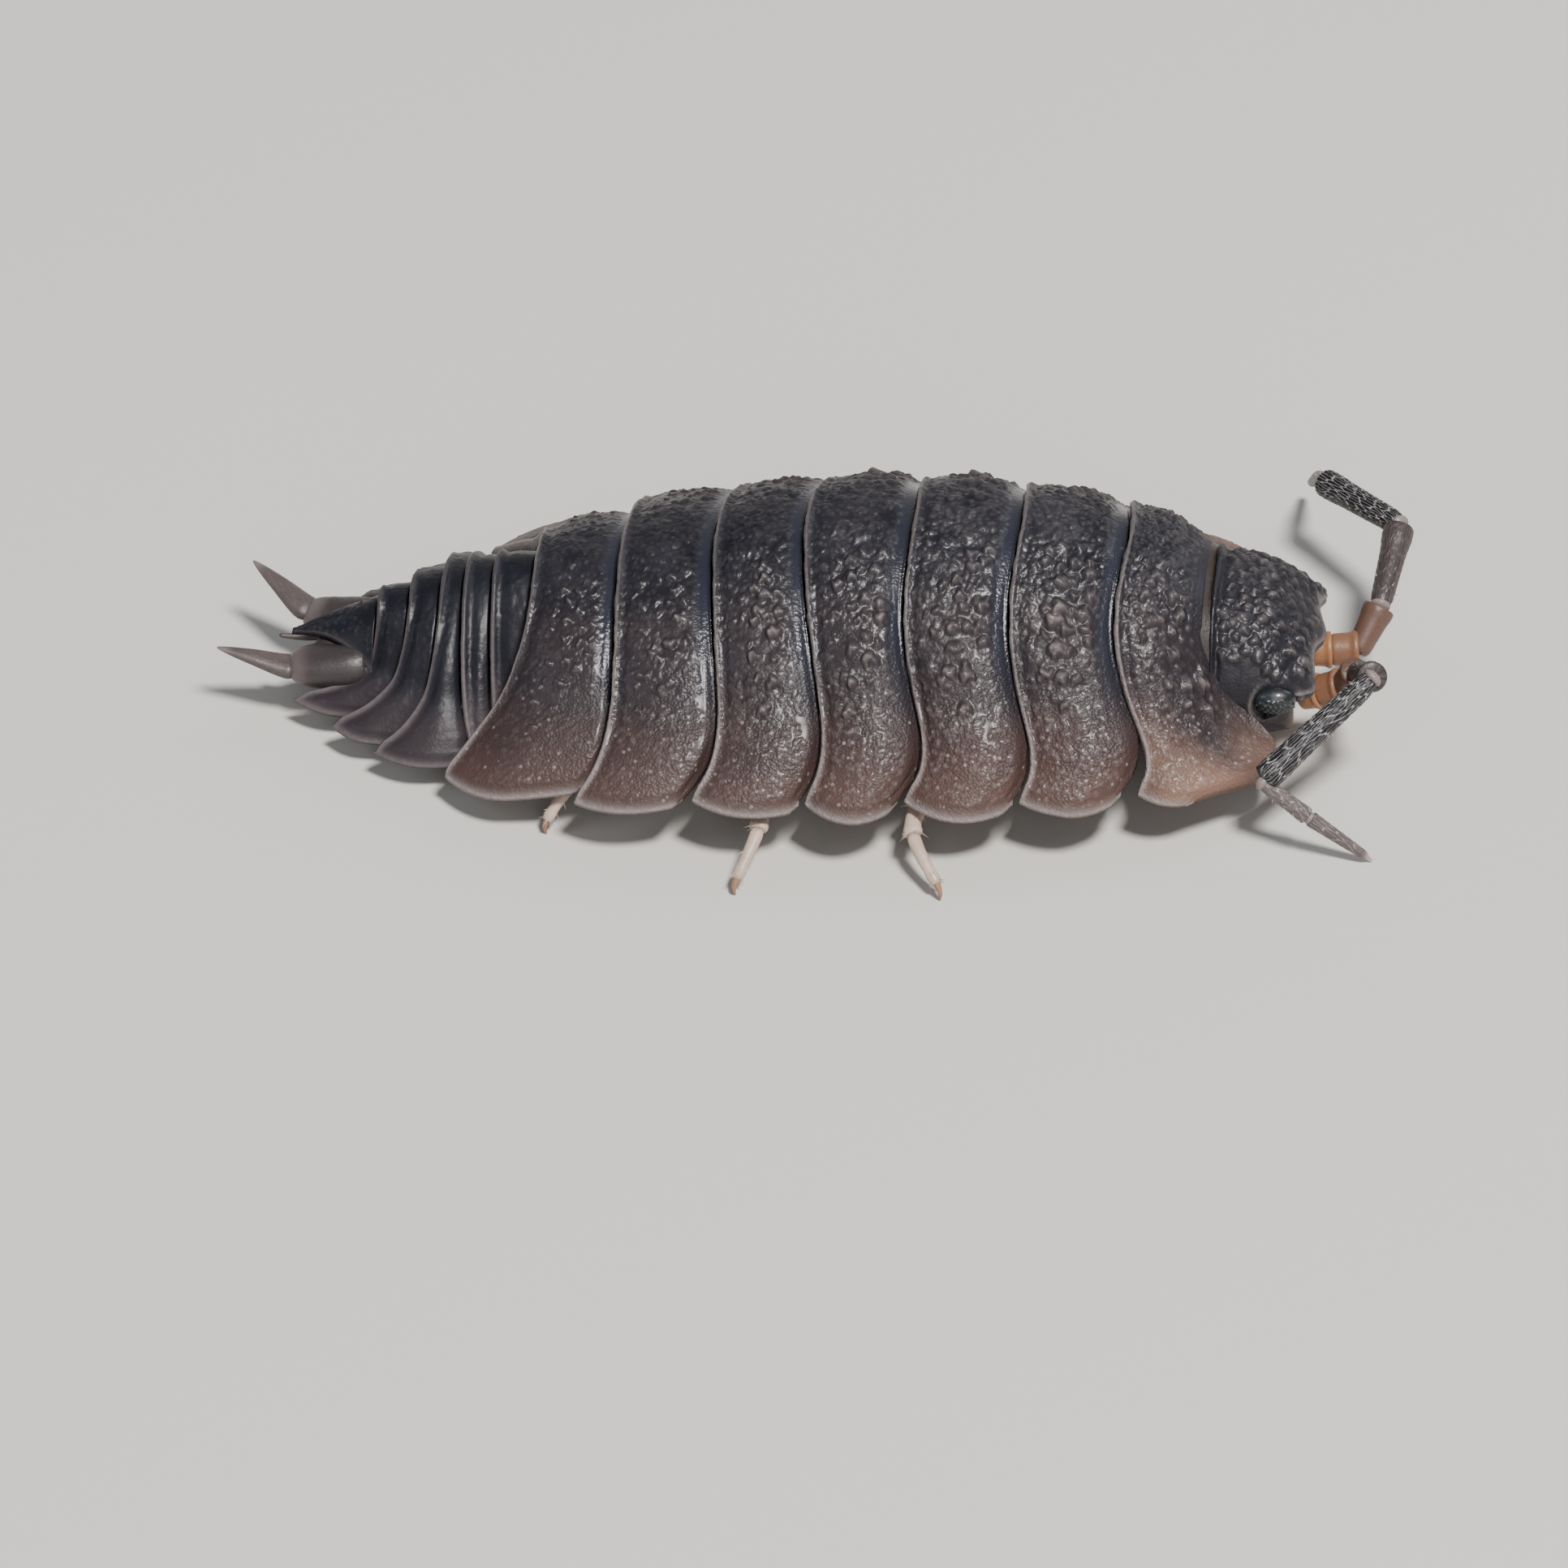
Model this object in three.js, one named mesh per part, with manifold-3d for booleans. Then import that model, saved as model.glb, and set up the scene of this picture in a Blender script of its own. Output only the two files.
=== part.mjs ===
// A life-size woodlouse (common rough woodlouse), standing, as a museum model.
// Millimetres, +X towards the head, +Y to the animal's left, +Z up, feet on z = 0.
import * as THREE from "three";
import { mergeVertices } from "three/addons/utils/BufferGeometryUtils.js";
import Module from "manifold-3d";

const wasm = await Module();
wasm.setup();

// Driving dimensions of the body.
const BODY_LENGTH = 15; // tip of the head's middle lobe to the tip of the tail plate
const HALF_LENGTH = BODY_LENGTH / 2;
const CUT = 0.05; // the thin cut that parts two neighbouring pieces
const BELLY = 1.45; // height of the underside between the legs
const PLATE = 0.32; // thickness of a side plate near its root
const PLATE_EDGE = 0.16; // and at its rim
const SHINGLE = 0.15; // how far each hind edge stands above the plate behind it
const ARCH_POWER = 1.05; // 1 is a pure cosine arch
const FLANK_SHARE = 0.6; // the body wall under the side plates, as a share of the half width

// Trunk segments from the head backwards. Each hind edge is an even curve over u, which is 0
// on the midline and 1 at the hind corner: x = mid + bow*u^2 + sinus*u^4 + sweep*u^8.
const TRUNK = [
  { mid: 4.72, bow: -1.21, sinus: 3.3, sweep: -1.77, corner: 2.97, flare: 0.13, fore: 2.99, notch: 0 },
  { mid: 3.19, bow: -0.88, sinus: 2.6, sweep: -1.54, corner: 3.28, flare: 0.22, fore: 3.03, notch: 0.2 },
  { mid: 1.65, bow: -0.7, sinus: 2.44, sweep: -1.66, corner: 3.36, flare: 0.37, fore: 3.34, notch: 0.05 },
  { mid: 0.07, bow: 0.77, sinus: 0.2, sweep: -0.71, corner: 3.52, flare: 0.35, fore: 3.42, notch: 0.05 },
  { mid: -1.25, bow: 0.61, sinus: -0.03, sweep: -0.62, corner: 3.54, flare: 0.28, fore: 3.58, notch: 0.05 },
  { mid: -2.63, bow: 0.34, sinus: -0.28, sweep: -0.42, corner: 3.5, flare: 0.24, fore: 3.56, notch: 0.1 },
  { mid: -3.89, bow: 0.15, sinus: -1.81, sweep: 0.57, corner: 2.62, flare: 0.6, fore: 3.16, notch: 0.3 },
];
// Tail segments. The first two have no side plates and end under the last trunk plate.
const TAIL = [
  { mid: -4.5, bow: 0.1, sinus: 0, sweep: 0.02, corner: 1.75, flare: 0, fore: 1.7, plates: false },
  { mid: -4.92, bow: 0.12, sinus: 0, sweep: 0.1, corner: 2.0, flare: 0, fore: 1.9, plates: false },
  { mid: -5.26, bow: 0.1, sinus: -0.55, sweep: -0.36, corner: 2.1, flare: 0.25, fore: 2.2, plates: true },
  { mid: -5.73, bow: 0.05, sinus: -0.6, sweep: -0.48, corner: 1.52, flare: 0.29, fore: 1.86, plates: true },
  { mid: -6.21, bow: 0, sinus: -0.1, sweep: -1.09, corner: 0.94, flare: 0.26, fore: 1.24, plates: true },
];
// Height of the back's midline over the ground, along x.
const CREST = [
  [7.53, 1.68],
  [7.25, 2.1],
  [6.94, 2.44],
  [6.6, 2.64],
  [6.12, 2.76],
  [5.65, 3.08],
  [5.18, 3.3],
  [4.72, 3.45],
  [3.19, 3.67],
  [1.65, 3.68],
  [0.07, 3.5],
  [-1.25, 3.2],
  [-2.63, 2.87],
  [-3.89, 2.55],
  [-5.26, 2.15],
  [-6.21, 1.75],
  [-7.53, 1.15],
];

// Height of the side plates' lower edges, along x: the tail hangs lower.
const RIM = [
  [6.9, 0.8],
  [5, 0.92],
  [-1.5, 0.92],
  [-3, 0.76],
  [-4.8, 0.45],
  [-6, 0.42],
  [-7.5, 0.42],
];

const clamp01 = (t) => Math.min(1, Math.max(0, t));
const mix = (a, b, t) => a + (b - a) * t;
const smooth = (a, b, x) => {
  const t = clamp01((x - a) / (b - a));
  return t * t * (3 - 2 * t);
};
const bump = (t) => Math.exp(-t * t);

// A height at x, straight between the listed stations.
function heightAt(stations, x) {
  const after = stations.findIndex(([station]) => station <= x);
  if (after < 0) return stations[stations.length - 1][1];
  if (after === 0) return stations[0][1];
  const [x0, z0] = stations[after - 1];
  const [x1, z1] = stations[after];
  return mix(z0, z1, (x - x0) / (x1 - x0));
}

function hindEdge(segment, y) {
  const u = Math.min(Math.abs(y) / segment.corner, 1);
  return segment.mid + segment.bow * u ** 2 + segment.sinus * u ** 4 + segment.sweep * u ** 8;
}

// A closed mesh: a box split into small faces, whose unit coordinates (s, v, t) are mapped to points.
function shapedBox(alongCount, acrossCount, upCount, place) {
  const geometry = new THREE.BoxGeometry(1, 1, 1, alongCount, acrossCount, upCount);
  geometry.deleteAttribute("normal");
  geometry.deleteAttribute("uv");
  const merged = mergeVertices(geometry, 1e-5);
  const position = merged.attributes.position;
  for (let i = 0; i < position.count; i++) {
    const s = position.getX(i) + 0.5;
    const v = position.getY(i) * 2;
    const t = position.getZ(i) + 0.5;
    position.setXYZ(i, ...place(s, v, t));
  }
  return merged;
}

// A tapered limb of round section: stations are [x, y, z, radius], the ends are flat.
function limb(stations, sides, firstDirection = null, lastDirection = null) {
  const points = stations.map(([x, y, z]) => new THREE.Vector3(x, y, z));
  const length = points.length - 1;
  const geometry = new THREE.CylinderGeometry(1, 1, 1, sides, length);
  geometry.deleteAttribute("normal");
  geometry.deleteAttribute("uv");
  const merged = mergeVertices(geometry, 1e-5);
  const tangents = points.map((p, i) => {
    const before = points[Math.max(i - 1, 0)];
    const behind = points[Math.min(i + 1, length)];
    return new THREE.Vector3().subVectors(behind, before).normalize();
  });
  if (firstDirection) tangents[0] = new THREE.Vector3(...firstDirection).normalize();
  if (lastDirection) tangents[length] = new THREE.Vector3(...lastDirection).normalize();
  const frames = [];
  let side = new THREE.Vector3(0.3, 0.2, 1).cross(tangents[0]).normalize();
  for (const tangent of tangents) {
    side = side.clone().addScaledVector(tangent, -side.dot(tangent)).normalize();
    frames.push([side, new THREE.Vector3().crossVectors(tangent, side)]);
  }
  const position = merged.attributes.position;
  for (let i = 0; i < position.count; i++) {
    const index = Math.round((0.5 + position.getY(i)) * length);
    const radius = stations[index][3];
    const [a, b] = frames[index];
    const p = points[index]
      .clone()
      .addScaledVector(a, -position.getX(i) * radius)
      .addScaledVector(b, position.getZ(i) * radius);
    position.setXYZ(i, p.x, p.y, p.z);
  }
  return merged;
}

function toSolid(geometry) {
  const plain = mergeVertices(geometry, 1e-5);
  return new wasm.Manifold(
    new wasm.Mesh({
      numProp: 3,
      vertProperties: plain.attributes.position.array,
      triVerts: new Uint32Array(plain.index.array),
    }),
  );
}

function toGeometry(solid) {
  const mesh = solid.getMesh();
  const geometry = new THREE.BufferGeometry();
  geometry.setAttribute("position", new THREE.BufferAttribute(mesh.vertProperties, 3));
  geometry.setIndex(new THREE.BufferAttribute(mesh.triVerts, 1));
  return geometry;
}

const ellipsoid = (centre, radii, wide = 14, high = 10) => {
  const geometry = new THREE.SphereGeometry(1, wide, high);
  geometry.deleteAttribute("normal");
  geometry.deleteAttribute("uv");
  geometry.scale(...radii);
  geometry.translate(...centre);
  return mergeVertices(geometry, 1e-5);
};

// Materials.
const shellGrey = new THREE.MeshStandardMaterial({ color: 0x4a464c, roughness: 0.45 });
const paleFlesh = new THREE.MeshStandardMaterial({ color: 0xa89a8c, roughness: 0.6 });
const legGrey = new THREE.MeshStandardMaterial({ color: 0xb3a59a, roughness: 0.6 });
const antennaGrey = new THREE.MeshStandardMaterial({ color: 0x6e666a, roughness: 0.6 });
const antennaOrange = new THREE.MeshStandardMaterial({ color: 0xb0703a, roughness: 0.55 });
const eyeBlack = new THREE.MeshStandardMaterial({ color: 0x0d1012, roughness: 0.2 });

const woodlouse = new THREE.Group();
function add(name, geometry, material) {
  const mesh = new THREE.Mesh(geometry, material);
  mesh.name = name;
  woodlouse.add(mesh);
}

// The head reaches under the first trunk plate, and its front edge has three lobes.
const HEAD = {
  rear: 5.9,
  half: 1.5, // half width at the eyes
  median: 7.53, // tip of the middle lobe
  lobe: 7.47, // tips of the side lobes
  lobeY: 1.08,
  saddle: 7.33, // the front edge between the lobes
  faceBottom: 0.92,
  faceBack: 0.3, // how far the face lies behind the front edge
};

function headFront(y) {
  const side = Math.abs(y);
  const plain = HEAD.saddle - 0.42 * smooth(HEAD.lobeY, HEAD.half, side);
  const median = (HEAD.median - HEAD.saddle) * bump(side / 0.26);
  const lateral = (HEAD.lobe - HEAD.saddle) * bump((side - HEAD.lobeY) / 0.3);
  return plain + median + lateral;
}

function headRoof(x, y) {
  const u = Math.min(Math.abs(y) / (HEAD.half + 0.02), 1);
  const arch = Math.sqrt(Math.max(0, 1 - u ** 2.6));
  return 1.0 + (heightAt(CREST, x) - 0.03 - 1.0) * arch;
}

const headPoint = (grow) => (s, v, t) => {
  const narrow = 1 - 0.07 * (1 - s) ** 2 - 0.04 * s ** 3;
  const cheek = 1 - 0.08 * (1 - t) ** 3;
  const y = v * (HEAD.half + grow) * narrow * cheek;
  const edge = headFront(y) + grow;
  const front = mix(edge - HEAD.faceBack, edge, smooth(0.45, 0.9, t));
  const x = mix(HEAD.rear - grow, front, s);
  const floor = HEAD.faceBottom - 0.08 * v * v - grow;
  const roof = Math.max(headRoof(x, (v * y) / Math.max(Math.abs(v), 1e-6)) + grow, floor + 0.3);
  return [x, y, mix(floor, roof, t)];
};

const EYE = { x: 6.86, y: 1.33, z: 1.53, long: 0.31, high: 0.22, deep: 0.2, yaw: 0.12 };

function eyeball(sign, grow) {
  const geometry = ellipsoid([0, 0, 0], [EYE.long + grow, EYE.deep + grow, EYE.high + grow], 12, 8);
  geometry.rotateX(-sign * 0.6);
  geometry.rotateZ(-sign * EYE.yaw);
  geometry.translate(EYE.x, sign * EYE.y, EYE.z);
  return geometry;
}

let head = toSolid(shapedBox(10, 24, 6, headPoint(0)));
for (const sign of [1, -1]) head = head.subtract(toSolid(eyeball(sign, 0.03)));
add("head", toGeometry(head), shellGrey);
for (const [sign, side] of [
  [1, "left"],
  [-1, "right"],
])
  add("eye_" + side, eyeball(sign, 0), eyeBlack);

// Body rings: a domed plate on top, side plates that overhang, and the flesh between them.
function ringPoint(segment, front, belly, s, v, t) {
  const reach = segment.corner + segment.flare;
  const hindInset = segment.flare / reach;
  const foreInset = 1 - segment.fore / reach;
  const outline = s > 0.5 ? 1 - hindInset * ((s - 0.5) * 2) ** 2 : 1 - foreInset * ((0.5 - s) * 2) ** 2;
  const y = -v * reach * outline; // s runs backwards, so v runs to the right
  const x = mix(front(v * segment.fore), hindEdge(segment, v * segment.corner), s);
  const u = Math.abs(v) * 0.995;
  const rim = heightAt(RIM, x);
  const height = heightAt(CREST, x) - rim;
  const groove = segment.plates ? 0.07 * bump((u - 0.7) / 0.09) : 0;
  const lift = SHINGLE * (s - 0.6) * (1 - 0.5 * u);
  const arch = Math.cos((Math.PI / 2) * u) ** ARCH_POWER * (segment.shoulder ? segment.shoulder(x, y) : 1);
  const top = rim + PLATE_EDGE + (height - PLATE_EDGE) * arch + lift - groove;
  const under = top - mix(PLATE, PLATE_EDGE, smooth(0.7, 1, u));
  const flank = segment.plates ? smooth(FLANK_SHARE, FLANK_SHARE + 0.12, u) : smooth(0.85, 1, u);
  const bottom = mix(Math.min(belly, top - PLATE), under, flank);
  return [x, y, mix(bottom, top, t)];
}

const frontOf = (segments, index, notch) => (y) =>
  hindEdge(segments[index - 1], y) - CUT - notch * smooth(0.8, 1.0, Math.abs(y) / segments[index - 1].corner);

// The first plate falls away on both sides of the head, and its front edge runs forward round the head, then back along its rounded corner.
const SHOULDER = { from: 5.2, to: 6.5, inner: 0.7, outer: 1.75, fall: 0.82 };
TRUNK[0].shoulder = (x, y) =>
  1 - SHOULDER.fall * smooth(SHOULDER.from, SHOULDER.to, x) * smooth(SHOULDER.inner, SHOULDER.outer, Math.abs(y));
const EMBRACE = { mid: 6.2, reach: 0.7, half: 1.56, back: 1.15 };
function firstFront(y) {
  const side = Math.abs(y);
  if (side < EMBRACE.half) return EMBRACE.mid + EMBRACE.reach * (side / EMBRACE.half) ** 8;
  const past = (side - EMBRACE.half) / (TRUNK[0].fore - EMBRACE.half);
  return EMBRACE.mid + EMBRACE.reach - EMBRACE.back * past ** 2.3;
}

TRUNK.forEach((segment, i) => {
  const front = i === 0 ? firstFront : frontOf(TRUNK, i, segment.notch);
  segment.plates = true;
  const ring = shapedBox(6, i === 0 ? 36 : 26, 1, (s, v, t) => ringPoint(segment, front, BELLY, s, v, t));
  const name = "pereonite_" + (i + 1);
  if (i > 0) add(name, ring, shellGrey);
  else add(name, toGeometry(toSolid(ring).subtract(toSolid(shapedBox(10, 24, 6, headPoint(CUT))))), shellGrey);
});

// Tail rings.
const tailBelly = (x) => mix(1.2, 0.8, clamp01((-4 - x) / 2.2));
TAIL.forEach((segment, i) => {
  const before = i === 0 ? TRUNK[TRUNK.length - 1] : TAIL[i - 1];
  const last = TRUNK[TRUNK.length - 1];
  const front = (y) => {
    const inner = hindEdge(before, y) - CUT;
    if (i !== 2) return inner;
    return mix(inner, hindEdge(last, y) - CUT, smooth(2.1, 2.3, Math.abs(y)));
  };
  const belly = tailBelly(segment.mid);
  add(
    "pleonite_" + (i + 1),
    shapedBox(3, 18, 1, (s, v, t) => ringPoint(segment, front, belly, s, v, t)),
    shellGrey,
  );
});

// The tail plate: a triangle with hollow sides and a pointed tip.
const TELSON = { root: 0.62, tip: -HALF_LENGTH - 0.03, thick: 0.42 };
add(
  "telson",
  shapedBox(6, 6, 1, (s, v, t) => {
    const half = TELSON.root * (1 - s) ** 1.25 + 0.04;
    const y = -v * half;
    const x = mix(hindEdge(TAIL[4], y) - CUT, TELSON.tip, s);
    const top = heightAt(CREST, x) - 0.12 - 0.18 * v * v * (1 - s);
    return [x, y, mix(top - mix(TELSON.thick, 0.12, s), top, t)];
  }),
  shellGrey,
);

// Uropods: a base joint behind the last side plate, a long outer branch and a short inner one.
const UROPOD = [
  { side: "left", sign: 1, knee: [-7.42, 0.66, 0.94], tip: [-8.27, 1.3, 1.28] },
  { side: "right", sign: -1, knee: [-7.52, 0.6, 0.84], tip: [-8.54, 0.62, 1.15] },
];
for (const { side, sign, knee, tip } of UROPOD) {
  const at = ([x, y, z], radius) => [x, sign * y, z, radius];
  const between = (t) => knee.map((value, k) => mix(value, tip[k], t));
  const outer = limb(
    [
      at([-6.36, 0.56, 0.93], 0.2),
      at([-6.7, 0.56, 0.87], 0.21),
      at([-7.1, 0.57, 0.84], 0.22),
      at(knee, 0.23),
      at(between(0.3), 0.23),
      at(between(0.65), 0.16),
      at(between(1), 0.03),
    ],
    8,
    [-1, 0, 0],
  );
  const inner = limb(
    [
      at([-6.9, 0.5, 0.76], 0.1),
      at([-7.25, 0.36, 0.68], 0.13),
      at([-7.5, 0.32, 0.68], 0.11),
      at([-7.78, 0.28, 0.72], 0.03),
    ],
    8,
  );
  add("uropod_" + side, toGeometry(toSolid(outer).add(toSolid(inner))), legGrey);
}

// Legs. Each hangs from the belly, bends out to a knee under the side plate and ends in a flat sole.
const HIP = { radius: 0.27, height: BELLY - CUT, share: 0.42, firstX: 5.2 };
const SHIN = 0.24;
const SOLE = 0.13;
const STANCE = {
  // how far out each foot stands, how far ahead of its hip, and the knee's own lead where it differs
  left: [
    [2.5, 1.1],
    [3.7, 0.6],
    [4.1, 0.3],
    [4.15, 0.0],
    [4.0, -0.3],
    [3.7, -0.55],
    [2.8, -0.75],
  ],
  right: [
    [1.6, 0.7],
    [2.1, 0.4],
    [4.33, -0.05, -0.5],
    [2.5, 0.1],
    [4.4, -0.17, 0.12],
    [3.18, -1.63],
    [2.2, -0.7],
  ],
};

function leg(index, sign, [reach, ahead, kneeAhead = 0.75 * ahead]) {
  const segment = TRUNK[index];
  const between = index === 0 ? HIP.firstX : mix(hindEdge(TRUNK[index - 1], 1.6), hindEdge(segment, 1.6), 0.5);
  const hipY = HIP.share * (segment.corner + segment.flare);
  const spread = smooth(2, 4.2, reach); // 0 is tucked in, 1 is stretched out
  const kneeY = mix(reach + 0.1, reach - 0.75, spread);
  const route = new THREE.CatmullRomCurve3(
    [
      [between, hipY, HIP.height],
      [between, hipY + 0.02, 1.12],
      [between + 0.33 * kneeAhead, mix(hipY, kneeY, 0.4), 0.9],
      [between + kneeAhead, kneeY, 0.68],
      [between + ahead, reach, 0.17],
      [between + ahead, reach, 0],
    ].map(([x, y, z]) => new THREE.Vector3(x, sign * y, z)),
    false,
    "centripetal",
  );
  const steps = 12;
  const stations = route.getSpacedPoints(steps).map((p, i) => {
    const t = i / steps;
    return [p.x, p.y, p.z, t < 0.7 ? mix(HIP.radius, SHIN, t / 0.7) : mix(SHIN, SOLE, (t - 0.7) / 0.3)];
  });
  return limb(stations, 7, [0, 0, -1], [0, 0, -1]);
}

for (const [side, sign] of [
  ["left", 1],
  ["right", -1],
])
  STANCE[side].forEach((stance, i) => add("leg_" + side + "_" + (i + 1), leg(i, sign, stance), legGrey));

// Feelers: the base with its four short joints, the long fifth joint and the two-jointed lash.
// The joints meet on planes that halve each bend.
const FEELER = {
  left: {
    root: [7.14, 0.52, 1.0],
    third: [7.9, 0.62, 1.0],
    knob: [8.17, 1.1, 1.42],
    elbow: [8.36, 2.38, 1.92],
    wrist: [7.12, 3.85, 1.55],
    bend: [7.0, 4.5, 1.1],
    tip: [6.8, 5.3, 0.42],
  },
  right: {
    root: [7.14, -0.52, 1.0],
    third: [7.75, -0.6, 1.25],
    knob: [8.0, -0.8, 1.68],
    elbow: [8.3, -1.62, 2.22],
    wrist: [6.8, -2.88, 1.24],
    bend: [7.48, -3.0, 0.72],
    tip: [8.38, -3.07, 0.05],
  },
};

const vector = (a) => new THREE.Vector3(...a);
const station = (p, radius) => [p.x, p.y, p.z, radius];
const towards = (a, b) => b.clone().sub(a).normalize();

for (const [side, feeler] of Object.entries(FEELER)) {
  const [root, third, knob, elbow, wrist, bend, tip] = [
    feeler.root,
    feeler.third,
    feeler.knob,
    feeler.elbow,
    feeler.wrist,
    feeler.bend,
    feeler.tip,
  ].map(vector);
  const fourth = towards(knob, elbow);
  const fifth = towards(elbow, wrist);
  const lash = towards(wrist, bend);
  const elbowPlane = fourth.clone().add(fifth).normalize();
  const wristPlane = fifth.clone().add(lash).normalize();
  const base = [
    station(root, 0.26),
    station(root.clone().lerp(third, 0.45), 0.3),
    station(third, 0.27),
    station(third.clone().lerp(knob, 0.75), 0.27),
    station(knob.clone().addScaledVector(fourth, 0.15), 0.24),
    station(knob.clone().lerp(elbow, 0.55), 0.24),
    station(elbow.clone().addScaledVector(fourth, -0.26), 0.25),
    station(elbow.clone().addScaledVector(elbowPlane, -CUT / 2), 0.22),
  ];
  add("antenna_" + side + "_base", limb(base, 9, [1, 0, 0], elbowPlane.toArray()), antennaOrange);
  const long = [
    station(elbow.clone().addScaledVector(elbowPlane, CUT / 2), 0.22),
    station(elbow.clone().addScaledVector(fifth, 0.26), 0.24),
    station(elbow.clone().lerp(wrist, 0.4), 0.24),
    station(elbow.clone().lerp(wrist, 0.7), 0.25),
    station(wrist.clone().addScaledVector(fifth, -0.26), 0.25),
    station(wrist.clone().addScaledVector(wristPlane, -CUT / 2), 0.2),
  ];
  add("antenna_" + side + "_fifth", limb(long, 9, elbowPlane.toArray(), wristPlane.toArray()), antennaGrey);
  const lashes = [
    station(wrist.clone().addScaledVector(wristPlane, CUT / 2), 0.18),
    station(wrist.clone().addScaledVector(lash, 0.22), 0.18),
    station(bend.clone().addScaledVector(lash, -0.12), 0.18),
    station(bend.clone().lerp(tip, 0.12), 0.15),
    station(bend.clone().lerp(tip, 0.55), 0.12),
    station(bend.clone().lerp(tip, 0.85), 0.08),
    station(tip, 0.035),
  ];
  add("antenna_" + side + "_lash", limb(lashes, 8, wristPlane.toArray()), legGrey);
}

// The mouthparts: a low shield under the head.
const MOUTH = { rear: 6.3, front: 6.95, half: 0.72, bottom: 0.55 };
add(
  "mouthparts",
  shapedBox(4, 6, 2, (s, v, t) => {
    const round = Math.sqrt(1 - 0.5 * v * v);
    const x = mix(MOUTH.rear, mix(MOUTH.rear, MOUTH.front, round), s) + 0.1 * t;
    const half = MOUTH.half * (0.75 + 0.25 * t);
    const top = HEAD.faceBottom - CUT;
    return [x, v * half, mix(MOUTH.bottom + 0.12 * v * v, top, t)];
  }),
  paleFlesh,
);

// The gill plates under the tail, five to a side, each overlapping the next.
const GILLS = { front: -4.2, rear: -6.25, inner: 0.06, half: 1.4, rearHalf: 0.55, thick: 0.26, step: 0.1 };
for (const [side, sign] of [
  ["left", 1],
  ["right", -1],
])
  add(
    "pleopods_" + side,
    shapedBox(15, 4, 1, (s, v, t) => {
      const x = mix(GILLS.front, GILLS.rear, s);
      const row = (s * 5) % 1;
      const outer = mix(GILLS.half, GILLS.rearHalf, s ** 1.5) - 0.1 * row * row;
      const across = (v + 1) / 2;
      const y = sign * mix(GILLS.inner, outer, sign > 0 ? 1 - across : across);
      const top = tailBelly(x - 0.5) - CUT;
      const bottom = top - GILLS.thick + GILLS.step * (1 - row) * (s < 1 ? 1 : 0) + 0.1 * across ** 3;
      return [x, y, mix(bottom, top, t)];
    }),
    paleFlesh,
  );

// Stand the box's bottom centre on the origin.
const box = new THREE.Box3().setFromObject(woodlouse);
const middle = box.getCenter(new THREE.Vector3());
for (const mesh of woodlouse.children) mesh.geometry.translate(-middle.x, -middle.y, -box.min.z);

export default woodlouse;
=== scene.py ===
# %% [markdown]
# This notebook dresses a life-size woodlouse. The solid model from the CAD step is already there as a fixed
# frame, and every piece made here is laid over one of its solids, at the same place and size. The shapes
# could be sculpted by hand, but formulas keep each plate and leg under a name and a few sizes, so that one
# number changes all of them alike.

# %% Load the frame
import math
import bpy
import numpy as np
from mathutils import Matrix, Vector, noise


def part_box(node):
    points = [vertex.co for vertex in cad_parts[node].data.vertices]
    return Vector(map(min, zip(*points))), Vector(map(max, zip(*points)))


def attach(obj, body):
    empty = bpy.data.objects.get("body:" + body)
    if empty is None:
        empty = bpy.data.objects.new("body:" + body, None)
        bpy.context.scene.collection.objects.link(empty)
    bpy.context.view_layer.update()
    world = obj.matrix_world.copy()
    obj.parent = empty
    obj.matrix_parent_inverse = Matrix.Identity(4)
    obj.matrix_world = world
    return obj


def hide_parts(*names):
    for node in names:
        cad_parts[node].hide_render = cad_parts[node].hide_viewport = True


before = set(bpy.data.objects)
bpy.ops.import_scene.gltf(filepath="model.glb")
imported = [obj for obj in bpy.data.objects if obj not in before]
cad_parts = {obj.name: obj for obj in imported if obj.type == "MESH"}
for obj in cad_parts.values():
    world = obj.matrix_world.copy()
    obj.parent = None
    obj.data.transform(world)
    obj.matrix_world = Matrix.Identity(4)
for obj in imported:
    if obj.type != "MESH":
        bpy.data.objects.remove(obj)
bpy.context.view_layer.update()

MM = 0.001
SIDES = (("left", 1), ("right", -1))
# The body is drawn in millimetres, with its zero on the floor under the middle of the animal.
TAIL_TIP = -7.53
telson_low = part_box("telson")[0]
ring_low, ring_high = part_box("pereonite_4")
SHIFT = np.array([telson_low[0] / MM - TAIL_TIP, (ring_low[1] + ring_high[1]) / 2 / MM, 0.0])
print("body frame shift in mm", SHIFT)

# %% [markdown]
# The camera stands in front of the animal's right side, 38 degrees above the ground. A short lens close by
# would make the near plates bulge, so this is a long lens from 22 centimetres away, and near and far side
# plates come out almost the same size. Its direction and scale come from fitting the plates' hind edges.

# %% Camera
VIEW = {"distance": 220.0, "azimuth": 8.0, "elevation": 38.0, "roll": 2.6, "pixels_per_mm": 85.2,
        "centre": (1000.0, 872.0), "image": 1932, "sensor": 36}

def camera_axes():
    """Directions to the right, up and into the picture, with the camera's slight roll."""
    az, el, roll = (math.radians(VIEW[k]) for k in ("azimuth", "elevation", "roll"))
    right = Vector((math.cos(az), math.sin(az), 0))
    forward = Vector((-math.sin(az) * math.cos(el), math.cos(az) * math.cos(el), -math.sin(el)))
    up = right.cross(forward)
    turned_right = right * math.cos(roll) - up * math.sin(roll)
    turned_up = right * math.sin(roll) + up * math.cos(roll)
    return turned_right, turned_up, forward

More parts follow.
